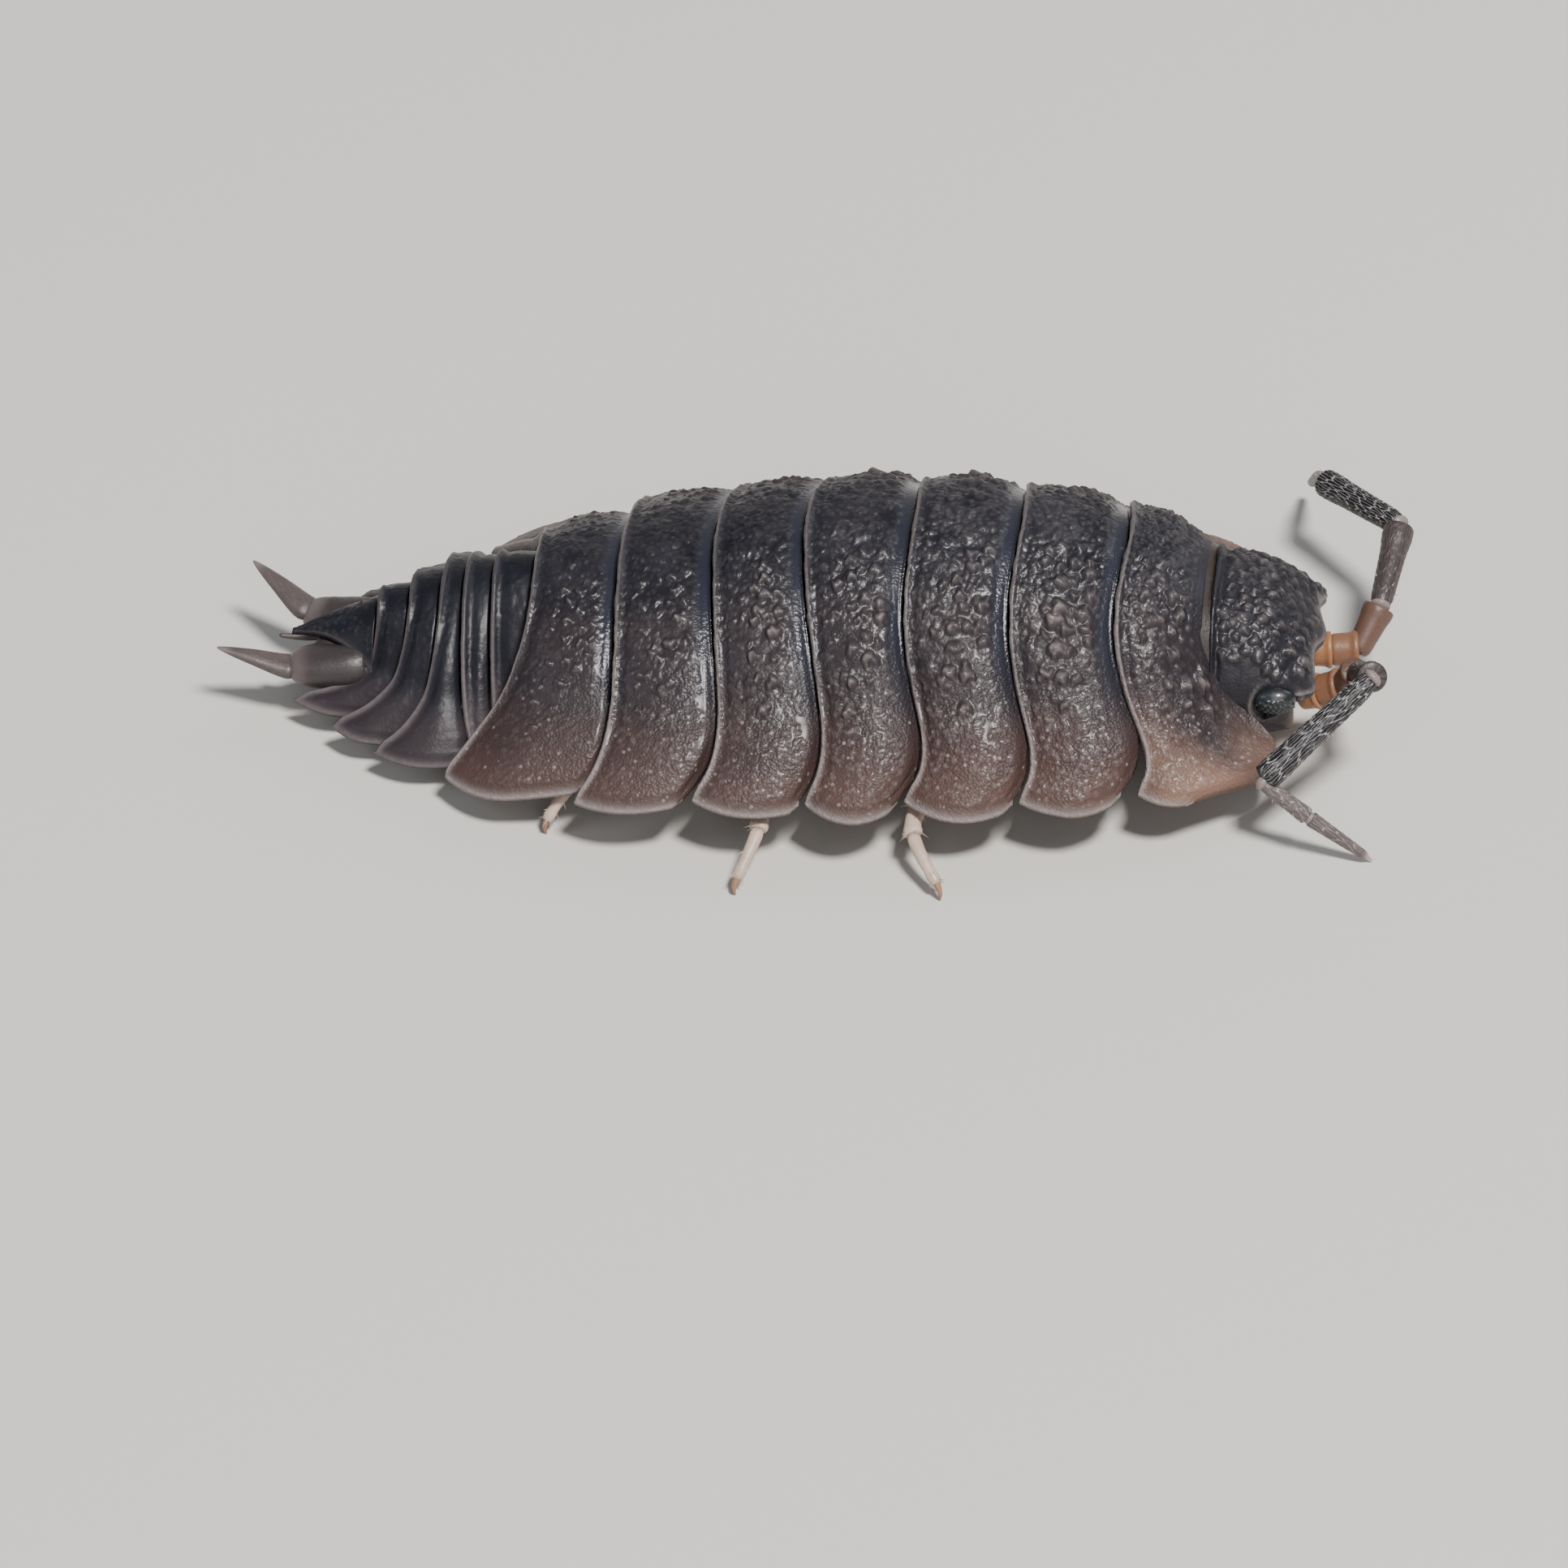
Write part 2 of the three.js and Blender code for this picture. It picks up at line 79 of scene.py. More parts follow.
right, up, forward = camera_axes()
half = VIEW["image"] / 2
aside = (VIEW["centre"][0] - half) / VIEW["pixels_per_mm"]
above = (half - VIEW["centre"][1]) / VIEW["pixels_per_mm"]
eye_point = -forward * VIEW["distance"] - right * aside - up * above + Vector(SHIFT)
cam_data = bpy.data.cameras.new("camera")
cam_data.sensor_width = VIEW["sensor"]
cam_data.lens = VIEW["pixels_per_mm"] * VIEW["distance"] / VIEW["image"] * VIEW["sensor"]
cam_data.clip_start = 0.002
cam_data.clip_end = 5
camera = bpy.data.objects.new("camera", cam_data)
bpy.context.scene.collection.objects.link(camera)
matrix = np.eye(4)
for i, axis in enumerate((right, up, -forward)):
    matrix[:3, i] = axis
matrix[:3, 3] = np.array(eye_point) * MM
camera.matrix_world = Matrix(matrix.tolist())
bpy.context.scene.camera = camera
print("lens mm", round(cam_data.lens, 1))

# %% [markdown]
# The floor is a pale sweep that curves up far behind the animal. A plane with a wall would show a line where
# the two meet, and the bend hides it.

# %% Floor
def mesh_object(name, points, faces):
    mesh = bpy.data.meshes.new(name)
    mesh.from_pydata([tuple(p) for p in points], [], faces)
    mesh.update()
    obj = bpy.data.objects.new(name, mesh)
    bpy.context.scene.collection.objects.link(obj)
    return obj

def pale_floor():
    material = bpy.data.materials.new("pale_floor")
    material.use_nodes = True
    shader = material.node_tree.nodes["Principled BSDF"]
    shader.inputs["Base Color"].default_value = (0.62, 0.6, 0.57, 1)
    shader.inputs["Roughness"].default_value = 0.8
    return material

def floor_sweep(half=0.6, flat=0.25, bend=0.15, steps=12):
    """A strip that lies flat under the animal and bends up into a wall; sizes in metres."""
    profile = [(-half, 0.0), (flat, 0.0)]
    for k in range(1, steps + 1):
        a = math.radians(90 * k / steps)
        profile.append((flat + bend * math.sin(a), bend * (1 - math.cos(a))))
    profile.append((flat + bend, half))
    points = [(x, y, z) for y, z in profile for x in (-half, half)]
    faces = [(2 * i, 2 * i + 1, 2 * i + 3, 2 * i + 2) for i in range(len(profile) - 1)]
    return mesh_object("floor_sweep", points, faces)

floor = floor_sweep()
floor.data.materials.append(pale_floor())
floor.data.shade_smooth()
print("floor faces", len(floor.data.polygons))

# %% [markdown]
# Four soft lamps stand round the animal. A small one high in front, on the head's side, makes the glints on
# the knobs, and three wide, weak ones lift the near side, the tail and the far side. One wide lamp would be
# simpler, but the waxy shell would lose its small bright reflections.

# %% Lights
WARM_WHITE = (1.0, 0.97, 0.94)
# Each lamp: place and width in metres, power in watts, colour.
LAMPS = {
    "key": ((0.1, -0.12, 0.28), 0.06, 1.65, WARM_WHITE),
    "fill_front": ((0.06, -0.28, 0.14), 0.18, 0.22, WARM_WHITE),
    "fill_left": ((-0.24, -0.12, 0.22), 0.16, 0.12, (0.9, 0.94, 1.0)),
    "back_right": ((0.2, 0.18, 0.2), 0.16, 0.16, (0.88, 0.93, 1.0)),
}
SKY = {"colour": (0.85, 0.9, 1.0, 1), "strength": 0.18}

def area_lamp(name, place, width, power, colour):
    """A round lamp that points at the middle of the floor."""
    data = bpy.data.lights.new(name, "AREA")
    data.shape = "DISK"
    data.size = width
    data.energy = power
    data.color = colour
    lamp = bpy.data.objects.new(name, data)
    lamp.location = place
    lamp.rotation_euler = Vector(place).to_track_quat("Z", "Y").to_euler()
    bpy.context.scene.collection.objects.link(lamp)

for name, settings in LAMPS.items():
    area_lamp(name, *settings)
world = bpy.data.worlds.new("studio")
world.use_nodes = True
world.node_tree.nodes["Background"].inputs[0].default_value = SKY["colour"]
world.node_tree.nodes["Background"].inputs[1].default_value = SKY["strength"]
bpy.context.scene.world = world
print("lamps:", *LAMPS)

# %% [markdown]
# Every piece is a closed mesh. A box is cut into small faces, and its unit coordinates are sent to points in
# space, so the same function that drew a CAD solid can draw a much finer one here. A subdivided and sculpted
# mesh could look alike, but this one gives each point its place on the plate, which the masks need later.

# %% Shape helpers
# A point lies on a sheet's upper face where its share of the thickness passes this.
UPPER = 0.999

def smooth(a, b, x):
    t = np.clip((np.asarray(x, float) - a) / (b - a), 0, 1)
    return t * t * (3 - 2 * t)

def mix(a, b, t):
    return a + (b - a) * t

def bump(t):
    return np.exp(-np.square(t))

def box_grid(ss, vs, ts):
    """All six sides of a unit box as one closed mesh: coordinates (n, 3) and quads."""
    ids, coords, faces = {}, [], []
    ns, nv, nt = len(ss), len(vs), len(ts)
    def vertex(i, j, k):
        key = (i, j, k)
        if key not in ids:
            ids[key] = len(coords)
            coords.append((ss[i], vs[j], ts[k]))
        return ids[key]
    def side(na, nb, at, flip):
        for a in range(na - 1):
            for b in range(nb - 1):
                quad = (at(a, b), at(a + 1, b), at(a + 1, b + 1), at(a, b + 1))
                faces.append(quad[::-1] if flip else quad)
    side(ns, nv, lambda a, b: vertex(a, b, nt - 1), False)
    side(ns, nv, lambda a, b: vertex(a, b, 0), True)
    side(ns, nt, lambda a, b: vertex(a, 0, b), False)
    side(ns, nt, lambda a, b: vertex(a, nv - 1, b), True)
    side(nv, nt, lambda a, b: vertex(0, a, b), True)
    side(nv, nt, lambda a, b: vertex(ns - 1, a, b), False)
    return np.array(coords), faces

def normals_of(points, faces):
    normals = np.zeros_like(points)
    quads = np.array([f for f in faces if len(f) == 4])
    cross = np.cross(points[quads[:, 2]] - points[quads[:, 0]], points[quads[:, 3]] - points[quads[:, 1]])
    for k in range(4):
        np.add.at(normals, quads[:, k], cross)
    return normals / (np.linalg.norm(normals, axis=1, keepdims=True) + 1e-12)

def make_piece(name, points, faces, material, nodes=(), masks=None, smooth_shade=True):
    """A piece in millimetres of the body frame becomes a Blender object that rides on the body."""
    obj = mesh_object(name, (points + SHIFT) * MM, faces)
    if smooth_shade:
        obj.data.shade_smooth()
    for key, values in (masks or {}).items():
        layer = obj.data.attributes.new(key, "FLOAT", "POINT")
        layer.data.foreach_set("value", np.asarray(values, np.float32))
    obj.data.materials.append(material)
    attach(obj, "root")
    if nodes:
        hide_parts(*nodes)
    return obj

# %% [markdown]
# The shell is rough with small lumps. A bump texture would be quick, but it leaves the outline smooth, so the
# lumps are real relief, raised along the surface normals. A lump with a lean has a peak, an uneven outline
# and a steep side, as the animal's tubercles do, and one without is a plain grain.

# %% Lumps and wrinkles
WOBBLE = 0.022

def jostle(points, amount):
    """Points moved to and fro by a few hundredths of a millimetre, so that lumps get uneven outlines."""
    x, y, z = points.T
    waves = (np.sin(33 * y + 2 * np.sin(21 * x)), np.sin(37 * x + 19 * z), np.sin(41 * y + 17 * x))
    return points + amount * np.stack(waves, axis=1)

def raise_lumps(points, lumps, lean=0.0):
    """Height of lumps (x, y, z, radius, height). A lean gives them a peak and uneven slopes."""
    height = np.zeros(len(points))
    places = jostle(points, WOBBLE) if lean else points
    for x, y, z, radius, tall in lumps:
        near = np.where(np.abs(points[:, 0] - x) < radius * (1.2 + lean))[0]
        away = places[near] - (x, y, z)
        away[:, 0] /= np.where(away[:, 0] > 0, 1 + lean, 1 - 0.6 * lean)
        d = (away ** 2).sum(1) / radius ** 2
        inside = d < 1
        low = (1 - d[inside]) ** 1.6
        value = tall * (0.45 * low + 0.55 * (1 - np.sqrt(d[inside]))) if lean else tall * low
        height[near[inside]] = np.maximum(height[near[inside]], value)
    return height

def wrinkles(points, where, seed):
    """Fine uneven relief in millimetres from two sizes of noise, only where the mask is set."""
    height = np.zeros(len(points))
    for k in np.where(where)[0]:
        place = Vector(points[k] + seed)
        height[k] = 0.022 * noise.noise(place * 3.1) + 0.013 * noise.noise(place * 7.5)
    return height

# %% [markdown]
# Two effects serve all finishes, one for shell and one for skin and limbs. Each is a node group with named
# inputs, built once and placed in every material with that material's own colours, so a change to the effect
# reaches them all. A painted image could do the same, but these effects stay sharp at any size. A group
# passes on colours and values only. The Principled shader stays in the material, where the export can read
# it.

# %% Shader helpers
COLOUR, NUMBER = "NodeSocketColor", "NodeSocketFloat"
OUTPUTS = (("Colour", COLOUR), ("Roughness", NUMBER), ("Height", NUMBER))

class Wiring:
    """Adds nodes to one effect group, so that each step of the effect is one short line."""

    def __init__(self, group):
        self.nodes, self.links = group.nodes, group.links
        self.place = self.nodes.new("ShaderNodeTexCoord").outputs["Object"]

    def noise(self, scale, detail):
        node = self.nodes.new("ShaderNodeTexNoise")
        node.inputs["Scale"].default_value = scale
        node.inputs["Detail"].default_value = detail
        self.links.new(self.place, node.inputs["Vector"])
        return node.outputs["Fac"]

    def cells(self, scale):
        """Round cells in space, with a distance from each middle and a random colour each."""
        node = self.nodes.new("ShaderNodeTexVoronoi")
        node.inputs["Scale"].default_value = scale
        self.links.new(self.place, node.inputs["Vector"])
        return node.outputs

    def seams(self, scale, masks):
        """Distance to the seams between cells on a skin unrolled flat, placed by two masks."""
        flat = self.nodes.new("ShaderNodeCombineXYZ")
        for socket, key in zip(flat.inputs, masks):
            self.links.new(self.mask(key), socket)
        node = self.nodes.new("ShaderNodeTexVoronoi")
        node.voronoi_dimensions = "2D"
        node.feature = "DISTANCE_TO_EDGE"
        node.inputs["Scale"].default_value = scale
        node.inputs["Randomness"].default_value = 0.85
        self.links.new(flat.outputs["Vector"], node.inputs["Vector"])
        return node.outputs["Distance"]

    def mask(self, name):
        node = self.nodes.new("ShaderNodeAttribute")
        node.attribute_name = name
        return node.outputs["Fac"]

    def math(self, operation, a, b, clamp=False):
        node = self.nodes.new("ShaderNodeMath")
        node.operation = operation
        node.use_clamp = clamp
        for socket, value in zip(node.inputs, (a, b)):
            if isinstance(value, (int, float)):
                socket.default_value = value
            else:
                self.links.new(value, socket)
        return node.outputs[0]

    def times(self, a, b, clamp=False):
        return self.math("MULTIPLY", a, b, clamp)

    def plus(self, a, b):
        return self.math("ADD", a, b)

    def over(self, factor, below, above):
        """One colour laid over another, as much as the factor says."""
        node = self.nodes.new("ShaderNodeMix")
        node.data_type = "RGBA"
        node.clamp_factor = True
        self.links.new(factor, node.inputs["Factor"])
        self.links.new(below, node.inputs[6])
        self.links.new(above, node.inputs[7])
        return node.outputs[2]

    def ramp(self, value, low, high, to_low=0.0, to_high=1.0):
        node = self.nodes.new("ShaderNodeMapRange")
        self.links.new(value, node.inputs["Value"])
        for key, number in (("From Min", low), ("From Max", high), ("To Min", to_low), ("To Max", to_high)):
            node.inputs[key].default_value = number
        return node.outputs["Result"]

def node_group(name, inputs, effect):
    """A named effect; every material that uses it gives its own values to the named inputs."""
    group = bpy.data.node_groups.new(name, "ShaderNodeTree")
    for label, kind in inputs:
        group.interface.new_socket(label, in_out="INPUT", socket_type=kind)
    for label, kind in OUTPUTS:
        group.interface.new_socket(label, in_out="OUTPUT", socket_type=kind)
    result = effect(Wiring(group), group.nodes.new("NodeGroupInput").outputs)
    out = group.nodes.new("NodeGroupOutput")
    for label, socket in result.items():
        group.links.new(socket, out.inputs[label])
    return group

def finish_material(name, group, values, bump_distance, settings):
    """A Principled surface fed by one effect group, with this finish's own values."""
    material = bpy.data.materials.new(name)
    material.use_nodes = True
    nodes, links = material.node_tree.nodes, material.node_tree.links
    shader = nodes["Principled BSDF"]
    effect = nodes.new("ShaderNodeGroup")
    effect.node_tree = group
    for label, value in values.items():
        effect.inputs[label].default_value = (*value, 1) if isinstance(value, tuple) else value
    links.new(effect.outputs["Colour"], shader.inputs["Base Color"])
    links.new(effect.outputs["Roughness"], shader.inputs["Roughness"])
    relief = nodes.new("ShaderNodeBump")
    relief.inputs["Distance"].default_value = bump_distance
    links.new(effect.outputs["Height"], relief.inputs["Height"])
    links.new(relief.outputs["Normal"], shader.inputs["Normal"])
    for key, value in settings.items():
        shader.inputs[key].default_value = value
    return material

# %% [markdown]
# The shell is dark slate with a waxy shine. It turns paler and browner towards the side plates, has a smooth
# bluish band where the plate in front slides over it, and is worn pale on every raised edge. The knob tips
# are pale partly as wear and partly as painted glints, the mid flank carries a lighter painted sheen, the
# side plates of the front segments are painted paler as painted light from the front, and the grooves and the
# strip under each overlap hold painted shade. One flat colour with noise would look like painted plastic, so
# masks on the mesh say where each of these is.

# %% Shell material
# Cells for each metre, so 1500 gives blotches about 0.7 mm wide.
SHELL_SCALE = {"mottle": 1500, "grain": 14000, "pits": 24000, "dots": 7500}
SHELL_TONES = ("Dark", "Mid", "Flank_sheen", "Side", "Pale", "Tan", "Band")
SHELL_INPUTS = tuple((tone, COLOUR) for tone in SHELL_TONES) + (("Specks", NUMBER),)

def shell_effect(wire, given):
    mottle, grain = wire.noise(SHELL_SCALE["mottle"], 4), wire.noise(SHELL_SCALE["grain"], 3)
    pits, dots = wire.cells(SHELL_SCALE["pits"]), wire.cells(SHELL_SCALE["dots"])
    side, fine = wire.mask("side"), wire.mask("fine")
    base = wire.over(wire.ramp(mottle, 0.38, 0.66), given["Dark"], given["Mid"])
    # Painted sheen: the mid flank gets its own lighter, even tone in place of the dark mottle, standing in
    # for the light that falls there.
    base = wire.over(wire.ramp(side, 0.0, 0.4), base, given["Flank_sheen"])
    low = wire.times(wire.ramp(side, 0.3, 1.0), wire.ramp(mottle, 0.3, 0.62, 0.6, 1.0), True)
    base = wire.over(low, base, given["Side"])
    base = wire.over(wire.mask("warm"), base, given["Tan"])
    base = wire.over(wire.mask("front"), base, given["Band"])
    chosen = wire.math("GREATER_THAN", dots["Color"], 0.66)
    dot = wire.times(wire.ramp(dots["Distance"], 0.26, 0.14), chosen)
    dot = wire.times(dot, wire.times(fine, given["Specks"]), True)
    # Pale knob and grain tips: partly worn colour, partly painted glints.
    worn_and_glint_tips = wire.times(wire.mask("lump"), wire.ramp(grain, 0.3, 0.7, 0.35, 0.85), True)
    edge = wire.times(wire.mask("edge"), wire.ramp(grain, 0.25, 0.75, 0.65, 1.0), True)
    for worn in (dot, worn_and_glint_tips, edge):
        base = wire.over(worn, base, given["Pale"])
    # Painted shade: the dark tone is laid into the grooves and into the strip under each overlapping plate
    # edge.
    base = wire.over(wire.times(wire.mask("groove"), 0.8), base, given["Dark"])
    gloss = wire.plus(wire.ramp(mottle, 0.3, 0.7, 0.31, 0.48), wire.times(fine, 0.12))
    gloss = wire.math("SUBTRACT", gloss, wire.times(wire.mask("front"), 0.12))
    height = wire.times(pits["Distance"], wire.ramp(fine, 0, 1, 0.2, 1.0))
    height = wire.plus(wire.plus(height, wire.times(grain, 0.5)), dot)
    return {"Colour": base, "Roughness": gloss, "Height": height}

shell_look = node_group("shell_look", SHELL_INPUTS, shell_effect)
# The flank tone is a painted sheen, the dark tone also paints shade in the grooves, and the pale tone also
# paints glints on the knob tips.
SHELL_COLOURS = {
    "Dark": (0.006, 0.0065, 0.0105), "Mid": (0.017, 0.016, 0.022), "Flank_sheen": (0.018, 0.0155, 0.0195),
    "Side": (0.054, 0.029, 0.0255), "Pale": (0.27, 0.235, 0.23), "Tan": (0.19, 0.108, 0.077),
    "Band": (0.02, 0.022, 0.033), "Specks": 0.75,
}
TAIL_COLOURS = dict(SHELL_COLOURS, Mid=(0.01, 0.011, 0.017), Flank_sheen=(0.015, 0.014, 0.019),
                    Side=(0.068, 0.048, 0.05), Pale=(0.14, 0.12, 0.125), Specks=0.25)
SHELL_SHINE = {"Coat Weight": 0.1, "Coat Roughness": 0.14, "Specular IOR Level": 0.32}
TAIL_SHINE = {"Coat Weight": 0.04, "Coat Roughness": 0.3, "Specular IOR Level": 0.24}
# The relief depths of all finishes are in metres, a few thousandths of a millimetre.
shell = finish_material("slate_shell", shell_look, SHELL_COLOURS, 0.000012, SHELL_SHINE)
tail_shell = finish_material("slate_shell_tail", shell_look, TAIL_COLOURS, 0.000005, TAIL_SHINE)
print("shell inputs:", ", ".join(label for label, kind in SHELL_INPUTS))

# %% [markdown]
# Legs, feelers, tail limbs, belly and eyes share one effect: a mottled skin, darker at the joints, with a
# network of pale lines between tiny scales on the feelers. Lines laid in space would cut across a round limb
# as blotches, so each limb joint carries its skin unrolled flat, in two masks, and the lines are drawn on
# that. Light enters the pale skins a little, which keeps them from looking like chalk.

# %% Skin, limb and eye materials
LIMB_SCALE = {"mottle": 2600, "grain": 22000, "lines": 24}
LIMB_INPUTS = (("Base", COLOUR), ("Dark", COLOUR), ("Warm", COLOUR), ("Lines", COLOUR))

def limb_effect(wire, given):
    mottle, grain = wire.noise(LIMB_SCALE["mottle"], 4), wire.noise(LIMB_SCALE["grain"], 2)
    seams = wire.seams(LIMB_SCALE["lines"], ("round", "along"))
    line = wire.times(wire.ramp(seams, 0.11, 0.03), wire.mask("lines"), True)
    colour = wire.over(wire.ramp(mottle, 0.35, 0.7, 0.0, 0.5), given["Base"], given["Dark"])
    colour = wire.over(wire.mask("joint"), colour, given["Dark"])
    colour = wire.over(wire.mask("warm"), colour, given["Warm"])
    shown = wire.times(line, wire.ramp(grain, 0.3, 0.7, 0.5, 1.0))
    for pale in (shown, wire.mask("pale")):
        colour = wire.over(pale, colour, given["Lines"])
    gloss = wire.ramp(grain, 0.3, 0.7, 0.34, 0.52)
    return {"Colour": colour, "Roughness": gloss, "Height": wire.plus(wire.times(grain, 0.6), line)}

limb_look = node_group("limb_look", LIMB_INPUTS, limb_effect)
SKIN = {"Subsurface Weight": 0.25, "Subsurface Scale": 0.0001, "Subsurface Radius": (1.0, 0.7, 0.5),
        "Specular IOR Level": 0.5}
HORN = {"Specular IOR Level": 0.4}
WET = {"Coat Weight": 0.5, "Coat Roughness": 0.06}
SILVER, ORANGE = (0.5, 0.47, 0.46), (0.33, 0.15, 0.07)

def limb_material(name, base, dark, bump_distance=0.000006, settings=SKIN, lines=SILVER):
    colours = {"Base": base, "Dark": dark, "Warm": ORANGE, "Lines": lines}
    return finish_material(name, limb_look, colours, bump_distance, settings)

leg_skin = limb_material("pale_leg", (0.56, 0.43, 0.35), (0.24, 0.17, 0.14))
claw_brown = limb_material("claw_brown", (0.34, 0.2, 0.12), (0.16, 0.08, 0.04), 0.000003)
feeler_base_skin = limb_material("feeler_base", (0.048, 0.034, 0.035), (0.026, 0.019, 0.021),
                                 lines=(0.12, 0.1, 0.1))
feeler_skin = limb_material("feeler_fifth", (0.007, 0.007, 0.008), (0.004, 0.004, 0.005), 0.000008, HORN,
                            (0.38, 0.37, 0.38))
lash_skin = limb_material("feeler_lash", (0.1, 0.08, 0.08), (0.05, 0.04, 0.042), lines=(0.4, 0.35, 0.34))
uropod_skin = limb_material("uropod_skin", (0.085, 0.065, 0.064), (0.035, 0.028, 0.03),
                            lines=(0.3, 0.26, 0.25))
belly_skin = limb_material("belly_skin", (0.55, 0.49, 0.41), (0.3, 0.26, 0.22), 0.000008)
neck_brown = limb_material("neck_skin", (0.026, 0.017, 0.013), (0.014, 0.009, 0.008))
bristle_skin = limb_material("bristle", (0.5, 0.43, 0.36), (0.3, 0.25, 0.2), 0.000001)
eye_black = limb_material("eye_black", (0.01, 0.015, 0.018), (0.002, 0.003, 0.004), 0.000001, WET)
print("finishes:", sorted(m.name for m in bpy.data.materials if m.name != "pale_floor"))

# %% [markdown]
# The body plan in numbers, in millimetres. It could be read off the solids point by point, but a few named
# sizes for each segment draw the same curves at any fineness. They are the CAD model's own sizes.

# %% Body plan
CUT, BELLY, PLATE, PLATE_EDGE, SHINGLE = 0.05, 1.45, 0.32, 0.16, 0.15
# A segment's hind edge starts at mid on the middle line, and bow, sinus and sweep bend it towards the sides.
# Corner and fore are its half widths behind and in front, flare widens its middle, and notch cuts its front
# corner back.
TRUNK = [
    dict(mid=4.72, bow=-1.21, sinus=3.3, sweep=-1.77, corner=2.97, flare=0.13, fore=2.99, notch=0),
    dict(mid=3.19, bow=-0.88, sinus=2.6, sweep=-1.54, corner=3.28, flare=0.22, fore=3.03, notch=0.2),
    dict(mid=1.65, bow=-0.7, sinus=2.44, sweep=-1.66, corner=3.36, flare=0.37, fore=3.34, notch=0.05),
    dict(mid=0.07, bow=0.77, sinus=0.2, sweep=-0.71, corner=3.52, flare=0.35, fore=3.42, notch=0.05),
    dict(mid=-1.25, bow=0.61, sinus=-0.03, sweep=-0.62, corner=3.54, flare=0.28, fore=3.58, notch=0.05),
    dict(mid=-2.63, bow=0.34, sinus=-0.28, sweep=-0.42, corner=3.5, flare=0.24, fore=3.56, notch=0.1),
    dict(mid=-3.89, bow=0.15, sinus=-1.81, sweep=0.57, corner=2.62, flare=0.6, fore=3.16, notch=0.3),
]
for segment in TRUNK:
    segment["plates"] = True
TAIL = [
    dict(mid=-4.5, bow=0.1, sinus=0, sweep=0.02, corner=1.75, flare=0, fore=1.7, plates=False),
    dict(mid=-4.92, bow=0.12, sinus=0, sweep=0.1, corner=2.0, flare=0, fore=1.9, plates=False),
    dict(mid=-5.26, bow=0.1, sinus=-0.55, sweep=-0.36, corner=2.1, flare=0.25, fore=2.2, plates=True),
    dict(mid=-5.73, bow=0.05, sinus=-0.6, sweep=-0.48, corner=1.52, flare=0.29, fore=1.86, plates=True),
    dict(mid=-6.21, bow=0, sinus=-0.1, sweep=-1.09, corner=0.94, flare=0.26, fore=1.24, plates=True),
]
# Heights of the back and of the side plates' rims at places along the body.
CREST = [(7.53, 1.68), (7.25, 2.1), (6.94, 2.44), (6.6, 2.64), (6.12, 2.76), (5.65, 3.08), (5.18, 3.3),
         (4.72, 3.45), (3.19, 3.67), (1.65, 3.68), (0.07, 3.5), (-1.25, 3.2), (-2.63, 2.87), (-3.89, 2.55),
         (-5.26, 2.15), (-6.21, 1.75), (-7.53, 1.15)]
RIM = [(6.9, 0.8), (5, 0.92), (-1.5, 0.92), (-3, 0.76), (-4.8, 0.45), (-6, 0.42), (-7.5, 0.42)]

def height_at(stations, x):
    """Height at x, averaged over a third of a millimetre so that no corner shows at a station."""
    xs = [p[0] for p in stations[::-1]]
    zs = [p[1] for p in stations[::-1]]
    return sum(np.interp(np.asarray(x) + d, xs, zs) for d in (-0.16, -0.08, 0, 0.08, 0.16)) / 5

def hind_edge(segment, y):
    u = np.minimum(np.abs(y) / segment["corner"], 1)
    return segment["mid"] + segment["bow"] * u ** 2 + segment["sinus"] * u ** 4 + segment["sweep"] * u ** 8

COLLAR = {"back": 5.8, "deep": 1.1, "inner": 1.05, "outer": 1.72, "lobe_y": 1.56, "tip": 6.9, "drop": 1.15}

def first_front(y):
    """The first plate's front edge, a collar round the head with a lobe on each side of it."""
    side = np.abs(y)
    inner = COLLAR["back"] + COLLAR["deep"] * smooth(COLLAR["inner"], COLLAR["outer"], side)
    past = np.clip((side - COLLAR["lobe_y"]) / (TRUNK[0]["fore"] - COLLAR["lobe_y"]), 0, None)
    return np.where(side < COLLAR["outer"], inner, COLLAR["tip"] - COLLAR["drop"] * past ** 2.3)

def shoulder(x, y):
    """Lowers the collar's lobes beside the head."""
    return 1 - 0.82 * smooth(4.9, 6.9, x) * smooth(0.7, 1.75, np.abs(y))

print("segments:", len(TRUNK), "of the trunk and", len(TAIL), "of the tail")

# %% [markdown]
# Each plate of the armour is one closed sheet that arches from rim to rim and runs from the plate before it
# to its own hind edge. An extruded profile would be simpler, but then every plate would end in a straight
# line. Here one function places any point by three shares: s along the plate, v across it and t through its
# thickness.

# %% Plate shapes
def front_line(chain, index):
    """The front edge of a plate, one thin cut behind the hind edge of the plate before it."""
    if chain is TRUNK and index == 0:
        return first_front
    before = TRUNK[-1] if index == 0 else chain[index - 1]
    def line(y):
        side = np.abs(y)
        edge = hind_edge(before, y) - CUT
        if chain is TRUNK:
            return edge - chain[index]["notch"] * smooth(0.8, 1, side / before["corner"])
        if index == 2:
            last = hind_edge(TRUNK[-1], y) - CUT
            return mix(edge, last, smooth(2.1, 2.3, side))
        return edge
    return line

